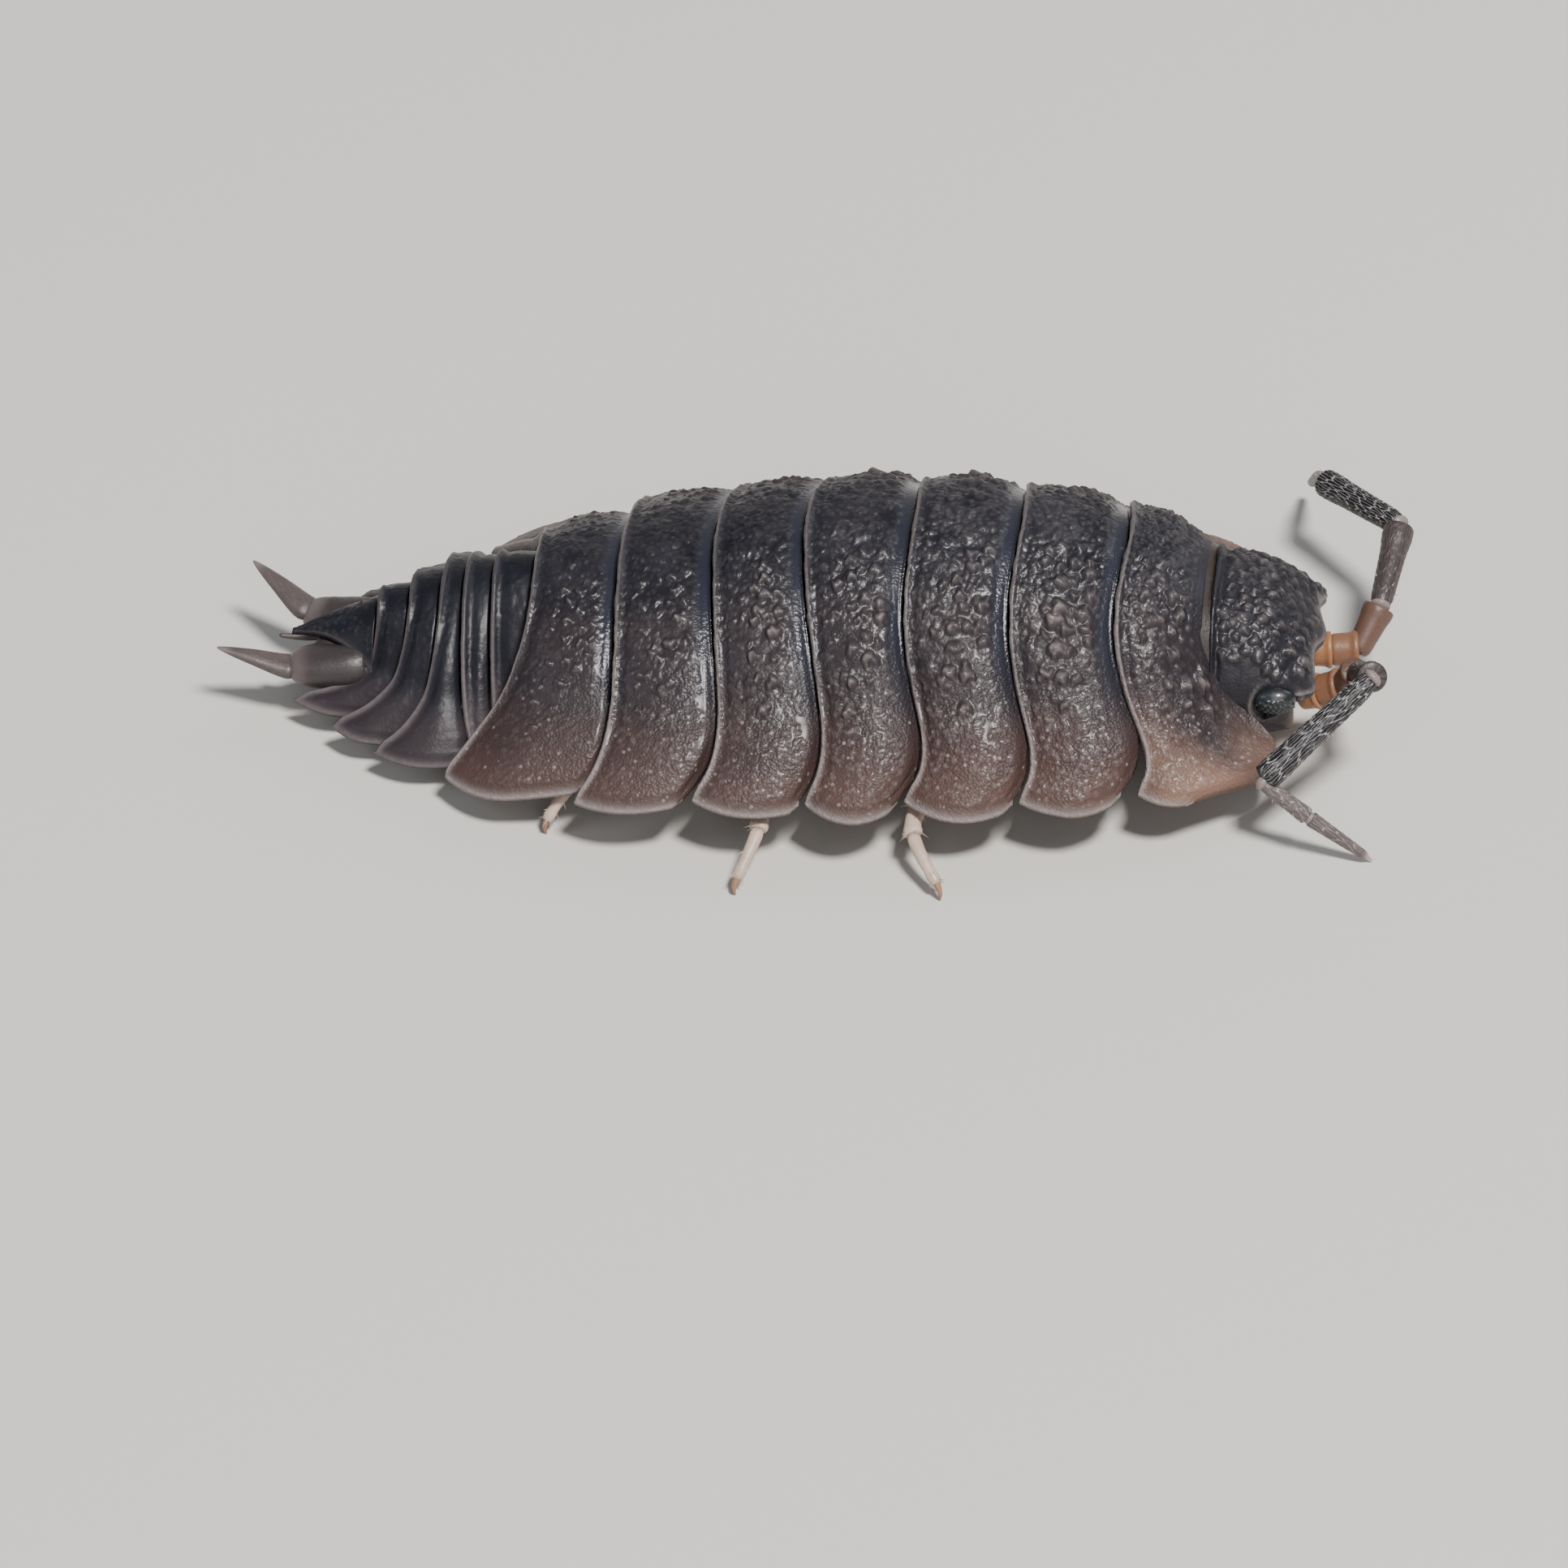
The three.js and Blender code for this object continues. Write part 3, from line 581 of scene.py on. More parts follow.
def plate_point(segment, front, s, v, t, belly, first):
    reach = segment["corner"] + segment["flare"]
    ahead = 1 - (segment["flare"] / reach) * np.square((s - 0.5) * 2)
    behind = 1 - (1 - segment["fore"] / reach) * np.square((0.5 - s) * 2)
    outline = np.where(s > 0.5, ahead, behind)
    if segment["plates"] and not first:
        outline = outline * (1 - 0.035 * smooth(0.12, 0, s) ** 2)
    y = -v * reach * outline
    x = mix(front(v * segment["fore"]), hind_edge(segment, v * segment["corner"]), s)
    u = np.abs(v) * 0.995
    rim = height_at(RIM, x)
    height = height_at(CREST, x) - rim
    groove = 0.07 * np.exp(-np.square((u - 0.7) / 0.09)) if segment["plates"] else 0
    lift = SHINGLE * (s - 0.6) * (1 - 0.5 * u)
    arch = np.cos(np.pi / 2 * u) ** 1.05 * (shoulder(x, y) if first else 1)
    top = rim + PLATE_EDGE + (height - PLATE_EDGE) * arch + lift - groove
    under = top - mix(PLATE, PLATE_EDGE, smooth(0.7, 1, u))
    top = top - (0.11 * smooth(0.965, 0.995, u) if segment["plates"] else 0)
    flank = smooth(0.6, 0.72, u) if segment["plates"] else smooth(0.85, 1, u)
    bottom = mix(np.minimum(belly, top - PLATE), under, flank)
    return np.stack([x, y, mix(bottom, top, t)], axis=1)

def arc_to_edge(points_of, s, v):
    """Distance in millimetres from a point of the plate to its hind edge, measured along the plate."""
    away = points_of(np.ones_like(s), v) - points_of(s, v)
    return np.linalg.norm(away[:, :2], axis=1)

def plate_kind(chain, index):
    """What sets a plate apart: its rank from the head, how calm its relief is, and how pale its sides are
    painted, as painted light from the front.
    """
    tail, segment = chain is TAIL, chain[index]
    rank = 7 if tail else index
    return {"tail": tail, "first": rank == 0, "rank": rank, "plates": segment["plates"],
            "calm": float(np.interp(rank, [2, 6, 7], [1.0, 0.6, 0.3])),
            "front_light_paling": float(np.interp(segment["mid"], [-5, -1.5, 1.7], [0.62, 0.68, 1.0]))}

print("first front edge at the middle", float(first_front(0.0)), "mm")

# %% [markdown]
# The knobs stand in loose rows across each plate. A regular pattern would look machined and a fully random
# one would leave bare patches, so each knob starts on its row and is moved and scaled by a seeded draw. They
# are biggest on the front plates and lower towards the middle line, the far side and the tail.

# %% Knobs of the plates
# Each row: place along the plate, number of knobs, how far out it goes, height and radius in millimetres.
ROWS = ((0.29, 17, 0.56, 0.1, 0.115), (0.43, 19, 0.66, 0.13, 0.13), (0.57, 19, 0.74, 0.13, 0.13),
        (0.71, 19, 0.82, 0.09, 0.11), (0.82, 32, 0.9, 0.04, 0.065), (0.92, 84, 0.94, 0.026, 0.042))
TAIL_ROWS = ((0.6, 26, 0.8, 0.018, 0.06), (0.85, 34, 0.9, 0.014, 0.045))

def knob_rows(random, rank, rows):
    """Knobs as (s, v, radius, height) over one plate."""
    knobs = []
    size = np.interp(rank, [0, 2, 4, 6, 7], [1.0, 1.05, 0.82, 0.62, 0.45])
    for s_row, count, reach, tall, radius in rows:
        for k in range(count):
            v = reach * (2 * (k + 0.5) / count - 1) + random.normal(0, 0.014)
            s = s_row + random.normal(0, 0.03) - 0.04 * abs(v)
            fade = (1 - 0.4 * smooth(0.6, 0.9, abs(v))) * (0.6 + 0.4 * smooth(-0.35, 0.3, v))
            fade *= 0.4 + 0.6 * smooth(0.04, 0.3, abs(v))
            grow = random.uniform(0.6, 1.2) * size
            knobs.append((s, v, radius * grow, tall * fade * grow * random.uniform(0.6, 1.1)))
    return knobs

def plate_lumps(points, points_of, random, knobs, grains):
    """Heights of the knobs and of the fine grains at all points of a plate."""
    seats = points_of(np.array([k[0] for k in knobs]), np.array([k[1] for k in knobs]))
    lumps = [(*seat, k[2], k[3]) for seat, k in zip(seats, knobs)]
    dust = points_of(random.uniform(0.12, 0.97, grains), random.uniform(-0.985, 0.985, grains))
    small = [(*p, random.uniform(0.035, 0.06), random.uniform(0.006, 0.02)) for p in dust]
    return raise_lumps(points, lumps, 0.6), raise_lumps(points, small)

print("knobs on a trunk plate:", sum(row[1] for row in ROWS))

# %% [markdown]
# The finest detail sits on the upper face: the raised hind ridge with a groove in front of it, the smooth
# band at the front, the knobs, and fine grains strewn between them. They could be painted by hand, but the
# same distances that raise them also fill the masks, so the worn colour, the painted glints on the knob tips
# and the painted shade in the grooves lie exactly on the relief.

# %% Plates
TRUNK_DETAIL = {"along": 84, "across": 380, "grains": 1500, "rows": ROWS, "seed": 11}
TAIL_DETAIL = {"along": 30, "across": 200, "grains": 300, "rows": TAIL_ROWS, "seed": 31}

def plate_masks(coords, to_hind, knob_height, grain_height, front_band, kind):
    """Where the shell is worn, sunk, knobbed, pale or smooth, with its painted shade, sheen and glints, from
    0 to 1 at every point.
    """
    s, v, t = coords.T
    side, top = np.abs(v), t > UPPER
    calm, front_light_paling, tail = kind["calm"], kind["front_light_paling"], kind["tail"]
    thin = 0.018 + 0.03 * smooth(0.7, 0.95, side) + (0.012 if tail else 0)
    side_rim = bump((1 - side) / 0.011) * (1 if kind["plates"] else 0)
    edge = np.maximum(bump(np.maximum(to_hind - 0.02, 0) / thin), side_rim)
    edge = edge * mix(0.4, 1.0, smooth(0.2, 0.8, side)) * np.where(t > 0.5, 1, 0.6)
    # Painted shade: the groove in front of the hind ridge and the strip under the overlap of the plate in
    # front are darkened.
    groove = 0.35 * bump((to_hind - 0.14) / 0.05) * (1 - 0.7 * smooth(0.6, 0.9, side)) * top
    overlap_shade = 0 if kind["first"] else 0.7 * bump(s / 0.035) * top * (1 - smooth(0.7, 0.9, side))
    # Pale tips of the grains and knobs: partly worn colour, partly painted glints. The knob tips are painted
    # less pale towards the middle line.
    specks = np.clip(grain_height / 0.02, 0, 1) * mix(0.2, 0.45, smooth(0.5, 0.8, side))
    knobs = 0.7 * np.clip(knob_height / 0.105, 0, 1) ** 2 * mix(0.55, 1.0, smooth(0.1, 0.4, side))
    # Painted sheen: the lighter flank tone on the mid flank, weaker on the tail.
    flank = (0.15 if tail else 0.4) * smooth(0.12, 0.45, side)
    # Painted light: the side plates are painted paler on the front plates, standing in for the light from the
    # front.
    pale_side = 0.6 * front_light_paling * smooth(0.62, 0.88, side + 0.06 * (s - 0.5))
    return {
        "edge": edge, "groove": groove + overlap_shade, "lump": (knobs + specks * calm) * top,
        "side": flank + pale_side, "front": front_band * top,
        "fine": mix(0.2, 1.0, smooth(0.45, 0.8, side)) * (calm if kind["plates"] else 0.3),
        "warm": 0.2 * front_light_paling * smooth(0.82, 0.98, side) * (0 if tail else 1),
    }

def dress_plate(points, faces, coords, points_of, lumps, kind):
    """Raise the ridge, the knobs and the grains on the upper face; return moved points and masks."""
    s, v, t = coords.T
    side, top = np.abs(v), t > UPPER
    knob_height, grain_height = lumps[0], lumps[1] * kind["calm"]
    to_hind = arc_to_edge(points_of, s, v)
    rough = kind["calm"] * smooth(0.14, 0.3, s) * (1 - 0.75 * smooth(0.6, 0.8, side))
    ridge = 0.026 * bump((to_hind - 0.03) / 0.035)
    trough = 0.022 * bump((to_hind - 0.14) / 0.07) * (1 - 0.6 * smooth(0.6, 0.95, side))
    banded = 0 if kind["first"] or kind["tail"] else 1
    front_band = smooth(0.2, 0.1, s) * (1 - smooth(0.5, 0.8, side)) * banded
    rim = 0.014 * bump((1 - side - 0.012) / 0.007) if kind["plates"] else 0
    height = knob_height + grain_height + wrinkles(points, top, 3.0) * rough
    height = (height + ridge - trough - 0.03 * front_band + rim) * top * smooth(0.0, 0.02, s)
    moved = points + normals_of(points, faces) * height[:, None]
    return moved, plate_masks(coords, to_hind, knob_height, grain_height, front_band, kind)

def make_plate(name, node, chain, index, detail):
    random = np.random.default_rng(detail["seed"] + index)
    segment, kind = chain[index], plate_kind(chain, index)
    front, belly = front_line(chain, index), BELLY
    if kind["tail"]:
        belly = mix(1.2, 0.8, min(max((-4 - segment["mid"]) / 2.2, 0), 1))
    def points_of(s, v, t=1.0):
        return plate_point(segment, front, s, v, t, belly, kind["first"])
    ss = np.linspace(0, 1, detail["along"])
    ss = mix(ss, 1 - (1 - ss) ** 1.5, 0.5)
    vs = np.linspace(-1, 1, detail["across"])
    vs = mix(vs, np.sin(vs * np.pi / 2), 0.35)
    coords, faces = box_grid(ss, vs, np.array([0, 0.5, 1.0]))
    points = points_of(*coords.T)
    knobs = knob_rows(random, kind["rank"], detail["rows"])
    if kind["first"]:
        knobs = [k for k in knobs if abs(k[1]) < 0.52 or k[0] > 0.4]
    lumps = plate_lumps(points, points_of, random, knobs, detail["grains"])
    moved, masks = dress_plate(points, faces, coords, points_of, lumps, kind)
    if kind["first"]:
        s, side = coords[:, 0], np.abs(coords[:, 1])
        low = smooth(0.66, 0.94, side) * mix(0.55, 1.0, smooth(0.8, 0.2, s))
        masks["warm"] = np.maximum(low, 0.5 * smooth(0.42, 0.08, s) * smooth(0.47, 0.62, side))
    make_piece(name, moved, faces, tail_shell if kind["tail"] else shell, (node,), masks)
    print(name, len(faces), "faces")

for index in range(len(TRUNK)):
    make_plate(f"plate_{index + 1}", f"pereonite_{index + 1}", TRUNK, index, TRUNK_DETAIL)
for index in range(len(TAIL)):
    make_plate(f"tail_ring_{index + 1}", f"pleonite_{index + 1}", TAIL, index, TAIL_DETAIL)

# %% [markdown]
# The head is a broad box with a rounded roof, three lobes on its front rim and an orange face under it. A
# ball pressed flat would be easier to start from, but it has no rim to put the lobes on. The eyes sit in a
# ring that is raised from the cheeks, so their place and tilt are set here too.

# %% Head shape
HEAD = {"rear": 5.94, "half": 1.5, "lobe_y": 1.08, "saddle": 7.33, "floor": 0.92, "face_back": 0.3,
        "dome_half": 1.52, "dome_base": 1.03}
EYE = {"place": (6.86, 1.33, 1.53), "size": (0.31, 0.2, 0.22), "lean": 0.6, "yaw": 0.12, "rim": 1.22}

def head_front(y):
    side = np.abs(y)
    lobes = 0.13 * bump(side / 0.34) + 0.07 * bump((side - HEAD["lobe_y"]) / 0.34)
    return HEAD["saddle"] - 0.42 * smooth(HEAD["lobe_y"], HEAD["half"], side) + lobes

def head_roof(x, y):
    """Height of the rounded roof over a point of the ground."""
    dome = np.sqrt(np.clip(1 - (np.abs(y) / HEAD["dome_half"]) ** 2.6, 0, 1))
    return 1 + (height_at(CREST, x) - HEAD["dome_base"]) * dome

def head_point(s, v, t):
    narrow = 1 - 0.07 * (1 - s) ** 2 - 0.04 * s ** 3
    cheek = 1 - 0.08 * (1 - t) ** 3 - 0.1 * smooth(0.7, 1, s) * smooth(0.6, 0, t)
    y = v * HEAD["half"] * narrow * cheek
    edge = head_front(y)
    x = mix(HEAD["rear"], mix(edge - HEAD["face_back"], edge, smooth(0.45, 0.9, t)), s)
    floor = HEAD["floor"] - 0.08 * v ** 2 + 0.04 * smooth(0.7, 1, np.abs(v)) * smooth(0.5, 1, s)
    roof = head_roof(x, y) - 0.1 * smooth(0.92, 1, s)
    return np.stack([x, y, mix(floor, np.maximum(roof, floor + 0.3), t)], axis=1)

def eye_frame(sign):
    """Turns the eye's own directions (long, deep, high) into the body frame."""
    lean, yaw = -sign * EYE["lean"], -sign * EYE["yaw"]
    tilt = np.array([[1, 0, 0], [0, math.cos(lean), -math.sin(lean)], [0, math.sin(lean), math.cos(lean)]])
    turn = np.array([[math.cos(yaw), -math.sin(yaw), 0], [math.sin(yaw), math.cos(yaw), 0], [0, 0, 1]])
    x, y, z = EYE["place"]
    return turn @ tilt, np.array([x, sign * y, z])

def eye_local(points, sign):
    axes, centre = eye_frame(sign)
    return (points - centre) @ axes

def eye_distance(points, sign):
    """Distance from an eye's middle, 1 at its edge, and 1 where the point lies on the eye's outer side."""
    local = eye_local(points, sign)
    distance = np.linalg.norm(local[:, [0, 2]] / np.array([EYE["size"][0], EYE["size"][2]]), axis=1)
    return distance, smooth(-0.2, 0.05, local[:, 1] * sign)

print("head roof at the middle", round(float(head_roof(6.6, 0.0)), 2), "mm high")

# %% [markdown]
# Knobs crowd the roof of the head. They could stand in rows as on the plates, but on the real head they are
# strewn, so each is drawn at random and kept only if it is far enough from the others and from the eyes. The
# head sits in the collar of the first plate, with a strip of brown skin in the gap.

# %% Head mesh
def spread_knobs(random, count, low, high, apart, aspect):
    """Random places in a rectangle, none closer to another than a set distance."""
    kept = []
    for _ in range(count * 30):
        s, v = random.uniform(low[0], high[0]), random.uniform(low[1], high[1])
        if all(((s - a) * aspect[0]) ** 2 + ((v - b) * aspect[1]) ** 2 > apart ** 2 for a, b in kept):
            kept.append((s, v))
        if len(kept) == count:
            break
    return np.array(kept)

def head_lumps(random):
    spots = spread_knobs(random, 240, (0.1, -0.86), (0.96, 0.86), 0.14, (1.4, 1.45))
    lumps = []
    for seat in head_point(spots[:, 0], spots[:, 1], np.ones(len(spots))):
        clear = min(np.linalg.norm(eye_local(seat[None], sign) / EYE["size"]) for side, sign in SIDES)
        if clear > 1.5:
            lumps.append((*seat, random.uniform(0.09, 0.14), random.uniform(0.035, 0.075)))
    return lumps

def make_head():
    lumps = head_lumps(np.random.default_rng(5))
    coords, faces = box_grid(np.linspace(0, 1, 70), np.linspace(-1, 1, 170), np.linspace(0, 1, 40))
    points = head_point(*coords.T)
    s, v, t = coords.T
    top = t > UPPER
    knob_height = raise_lumps(points, lumps, 0.5)
    height = (knob_height + 0.7 * wrinkles(points, top, 9.0)) * top
    height += 0.03 * bump((1 - s) / 0.03) * top + 0.018 * bump(s / 0.03) * top
    height -= 0.03 * bump((s - 0.07) / 0.04) * top
    for side, sign in SIDES:
        distance, facing = eye_distance(points, sign)
        height += (0.035 * bump((distance - EYE["rim"]) / 0.1) - 0.05 * smooth(1.1, 0.9, distance)) * facing
    points = points + normals_of(points, faces) * height[:, None]
    ring = np.zeros(len(s))
    for side, sign in SIDES:
        distance, facing = eye_distance(points, sign)
        ring += bump((distance - EYE["rim"]) / 0.12) * facing
    masks = {
        "edge": 0.6 * bump((1 - s) / 0.02) * top + 0.35 * ring,
        # Painted shade in the groove at the head's rear, and pale knob tips that are partly worn colour,
        # partly painted glints.
        "groove": 0.6 * bump((s - 0.07) / 0.05) * top,
        "lump": 0.55 * np.clip(knob_height / 0.07, 0, 1) ** 2 * top,
        "side": 0.16 + 0.4 * smooth(0.5, 0.25, t),
        "front": np.zeros(len(s)), "fine": np.full(len(s), 0.25),
        "warm": smooth(0.8, 0.97, s) * smooth(0.75, 0.5, t) * smooth(1.25, 0.9, np.abs(points[:, 1])),
    }
    make_piece("head_shell", points, faces, shell, ("head",), masks)
    print("head knobs", len(lumps))

def make_neck(x0=5.62, x1=6.12, half=1.44, lower=0.07, thick=0.3):
    """A saddle of soft skin across the body, a little below the roof of the head."""
    coords, faces = box_grid(np.linspace(0, 1, 8), np.linspace(-1, 1, 60), np.array([0, 1.0]))
    s, v, t = coords.T
    x, y = mix(x0, x1, s), v * half
    points = np.stack([x, y, head_roof(x, y) - lower - thick * (1 - t)], axis=1)
    make_piece("neck_skin", points, faces, neck_brown)

make_head()
make_neck()

# %% [markdown]
# Each eye is a low black bean covered with round lenses in staggered rows. Separate balls would leave seams
# between them, so the lenses are raised on one closed ball, which is then squashed and tilted into place.

# %% Eyes
LENS = {"row": 0.27, "column": 0.235, "reach": 0.88, "radius": 0.135, "height": 0.13}

def ball_mesh(rings, around):
    points = [np.array([0, 0, 1.0])]
    for i in range(1, rings):
        a = math.pi * i / rings
        for j in range(around):
            b = 2 * math.pi * j / around
            points.append(np.array([math.sin(a) * math.cos(b), math.sin(a) * math.sin(b), math.cos(a)]))
    points.append(np.array([0, 0, -1.0]))
    faces = [(0, 1 + j, 1 + (j + 1) % around) for j in range(around)]
    for i in range(rings - 2):
        for j in range(around):
            a, b = 1 + i * around + j, 1 + i * around + (j + 1) % around
            faces.append((a, a + around, b + around, b))
    last = len(points) - 1
    faces += [(last, last - around + (j + 1) % around, last - around + j) for j in range(around)]
    return np.array(points), faces

def make_eye(side, sign):
    ball, faces = ball_mesh(60, 96)
    ball = ball[:, [0, 2, 1]] * np.array([1, sign, 1])
    if sign > 0:
        faces = [f[::-1] for f in faces]
    lenses = []
    for row in range(-3, 4):
        for k in range(-4, 5):
            a, c = LENS["column"] * (k + 0.5 * (row % 2)), LENS["row"] * row
            if a * a + c * c < LENS["reach"]:
                deep = sign * math.sqrt(1 - a * a - c * c)
                lenses.append((a, deep, c, LENS["radius"], LENS["height"]))
    ball = ball * (1 + raise_lumps(ball, lenses)[:, None])
    axes, centre = eye_frame(sign)
    points = (ball * np.array(EYE["size"])) @ axes.T + centre
    make_piece(f"eye_{side}_lenses", points, faces, eye_black, (f"eye_{side}",))
    print("eye", side, len(lenses), "lenses")

for side, sign in SIDES:
    make_eye(side, sign)

# %% [markdown]
# Limbs are lofted: rings of points are carried along a curve, with a radius that swells at each joint. A
# bevelled curve object could do this, but here the rings also take relief, so the scales of a feeler are
# small changes of the radius that any light can pick out.

# %% Limb helpers
def unit(vector):
    return vector / np.linalg.norm(vector)

def between(low, high, p, q, u):
    """The point at u on a line that is at p when u is low and at q when u is high."""
    return ((high - u) * p + (u - low) * q) / (high - low)

def curve_through(points, steps):
    """A centripetal Catmull-Rom curve through the points, with evenly spaced places along it."""
    points = np.array(points, float)
    ends = np.vstack([2 * points[0] - points[1], points, 2 * points[-1] - points[-2]])
    out = []
    for i in range(len(points) - 1):
        p = ends[i:i + 4]
        gaps = np.sqrt(np.linalg.norm(np.diff(p, axis=0), axis=1)) + 1e-6
        knots = np.concatenate([[0], np.cumsum(gaps)])
        for u in np.linspace(knots[1], knots[2], 24, endpoint=False):
            a = [between(knots[k], knots[k + 1], p[k], p[k + 1], u) for k in range(3)]
            b = [between(knots[k], knots[k + 2], a[k], a[k + 1], u) for k in range(2)]
            out.append(between(knots[1], knots[2], b[0], b[1], u))
    out.append(points[-1])
    out = np.array(out)
    along = np.concatenate([[0], np.cumsum(np.linalg.norm(np.diff(out, axis=0), axis=1))])
    want = np.linspace(0, along[-1], steps)
    return np.stack([np.interp(want, along, out[:, k]) for k in range(3)], axis=1), want

def frames_along(path):
    """Directions across a path that turn as little as possible."""
    tangent = np.gradient(path, axis=0)
    tangent /= np.linalg.norm(tangent, axis=1, keepdims=True)
    across = [unit(np.cross(tangent[0], (0, 0, 1.0) if abs(tangent[0][2]) < 0.9 else (1.0, 0, 0)))]
    for k in range(1, len(path)):
        across.append(unit(across[-1] - tangent[k] * (across[-1] @ tangent[k])))
    across = np.array(across)
    return across, np.cross(tangent, across)

def loft(path, radii, sides, relief=None, flat=1.0):
    """A closed tube with domed ends. relief(u, angle) adds to the radius in millimetres."""
    a, b = frames_along(path)
    angles = np.linspace(0, 2 * math.pi, sides, endpoint=False)
    grid_u, grid_angle = np.meshgrid(np.linspace(0, 1, len(path)), angles, indexing="ij")
    radius = np.repeat(np.asarray(radii)[:, None], sides, axis=1)
    if relief is not None:
        radius = radius + relief(grid_u, grid_angle)
    out = np.cos(grid_angle)[..., None] * a[:, None, :] + flat * np.sin(grid_angle)[..., None] * b[:, None, :]
    spot = path[:, None, :] + radius[..., None] * out
    points = np.vstack([spot.reshape(-1, 3), path[:1], path[-1:]])
    faces = []
    for i in range(len(path) - 1):
        for j in range(sides):
            k = (j + 1) % sides
            faces.append((i * sides + j, i * sides + k, (i + 1) * sides + k, (i + 1) * sides + j))
    n, base = len(points), (len(path) - 1) * sides
    faces += [(n - 2, (j + 1) % sides, j) for j in range(sides)]
    faces += [(n - 1, base + j, base + (j + 1) % sides) for j in range(sides)]
    where = np.concatenate([grid_u.ravel(), [0, 1]])
    turn = np.concatenate([grid_angle.ravel(), [0, 0]])
    return points, faces, where, turn

def domed(away, width, least):
    """Rounds off an end: grows from a small share there to 1 at this width away from it."""
    return np.sqrt(np.clip(1 - np.square(np.clip((width - away) / width, 0, 1)), least, 1))

def join(parts):
    """Several (points, faces, masks) as one mesh."""
    points, faces, masks, offset = [], [], {}, 0
    for part_points, part_faces, part_masks in parts:
        points.append(part_points)
        faces += [tuple(i + offset for i in f) for f in part_faces]
        for key, values in part_masks.items():
            masks.setdefault(key, []).append(np.asarray(values, float))
        offset += len(part_points)
    return np.vstack(points), faces, {k: np.concatenate(v) for k, v in masks.items()}

# %% [markdown]
# One article is the stretch between two joints. It is narrow at its root and fullest near its far end, so a
# chain of them reads as a jointed leg. The masks that go with it say how dark its ends are and hold its skin
# unrolled flat, for the network of lines.

# %% Limb articles
LINE_STRETCH = 6.5

def limb_masks(where, turn, length, radius, joint=0.0, warm=0.0, lines=0.0, pale=0.0):
    """Masks of one limb joint, and its skin unrolled flat, in which the scale lines run lengthwise."""
    ones = np.ones(len(where))
    return {"joint": joint * ones, "warm": warm * ones, "lines": lines * ones, "pale": pale * ones,
            "round": radius * turn, "along": where * length / LINE_STRETCH}

def article(path, start, end, sides, relief=None, warm=0.0, lines=0.0, swell=0.1, waist=0.2, flat=1.0,
            joint=1.0):
    """A stretch of limb whose radius runs from start to end, as points, faces and masks."""
    u = np.linspace(0, 1, len(path))
    radii = mix(start, end, u) * (1 + swell * bump((u - 0.86) / 0.12) - waist * bump(u / 0.07))
    radii = radii * domed(u, 0.03, 0.04) * domed(1 - u, 0.035, 0.06)
    points, faces, where, turn = loft(path, radii, sides, relief, flat)
    joints = joint * np.maximum(bump(where / 0.05), bump((1 - where) / 0.03))
    length = float(np.linalg.norm(path[-1] - path[0]))
    return points, faces, limb_masks(where, turn, length, (start + end) / 2, joints, warm, lines)

def straight(a, b, steps):
    return mix(a, b, np.linspace(0, 1, steps)[:, None])

# %% [markdown]
# Stiff bristles stand at the joints of the legs and along the feelers. Particle hair would be quicker to
# grow, but the export drops it, so they are thin solid cones. All bristles of one side of the animal are
# joined into one mesh, and every bristle has its own small patch on the bake map.

# %% Bristles
BRISTLE = {"width": 0.009, "patch": 0.0012, "map_span": 20}
bristles = {"left": ([], []), "right": ([], [])}

def add_bristles(side, random, at, along, radius, count, length):
    """Notes down roots and tips round one place of a limb that runs in the direction along."""
    for _ in range(count):
        out = random.normal(size=3)
        out -= along * (out @ along)
        out /= np.linalg.norm(out)
        root = at + out * radius * 0.85
        lean = mix(0.5, 1.6, random.random())
        tip = root + unit(out + along * lean) * length * random.uniform(0.6, 1.2)
        tip[2] = max(tip[2], 0.02)
        bristles[side][0].append(root)
        bristles[side][1].append(tip)

def bristle_mesh(side, seed):
    """Thin three-sided cones from each noted root to its tip."""
    random = np.random.default_rng(seed)
    points, faces, patch = [], [], []
    for root, tip in zip(*bristles[side]):
        along = (tip - root) / (np.linalg.norm(tip - root) + 1e-9)
        a = unit(np.cross(along, random.normal(size=3)))
        b = np.cross(along, a)
        n = len(points)
        for k in range(3):
            c, s = math.cos(2 * math.pi * k / 3), math.sin(2 * math.pi * k / 3)
            points.append(root + BRISTLE["width"] * (c * a + s * b))
            patch.append((root[0], root[1], BRISTLE["patch"] * c, BRISTLE["patch"] * s))
        points.append(tip)
        patch.append((root[0], root[1], 0, 0))
        faces += [(n, n + 2, n + 1), (n, n + 1, n + 3), (n + 1, n + 2, n + 3), (n + 2, n, n + 3)]
    name = f"bristles_{side}"
    piece = make_piece(name, np.array(points), faces, bristle_skin, smooth_shade=False)
    layer = piece.data.uv_layers.new(name="OFBake")
    for loop in piece.data.loops:
        x, y, du, dv = patch[loop.vertex_index]
        layer.data[loop.index].uv = (0.5 + x / BRISTLE["map_span"] + du, 0.5 + y / BRISTLE["map_span"] + dv)
    print(name, len(bristles[side][0]), "bristles")

# %% [markdown]
# A leg has a stout basis hidden under the body, four shorter articles and a claw. One smooth tube would lose
# the joints, so each article is its own closed stretch along a shared path, sunk a little into the next. The
# path is the CAD leg's own, so the foot lands on the same spot.

# %% Legs
# For each leg from the head: how far out the foot stands, how far ahead of its hip, and the knee's own lead.
STANCE = {
    "left": ((2.5, 1.1), (3.7, 0.6), (4.1, 0.3), (4.15, 0), (4, -0.3), (3.7, -0.55), (2.8, -0.75)),
    "right": ((1.6, 0.7), (2.1, 0.4), (4.33, -0.05, -0.5), (2.5, 0.1), (4.4, -0.17, 0.12), (3.18, -1.63),
              (2.2, -0.7)),
}
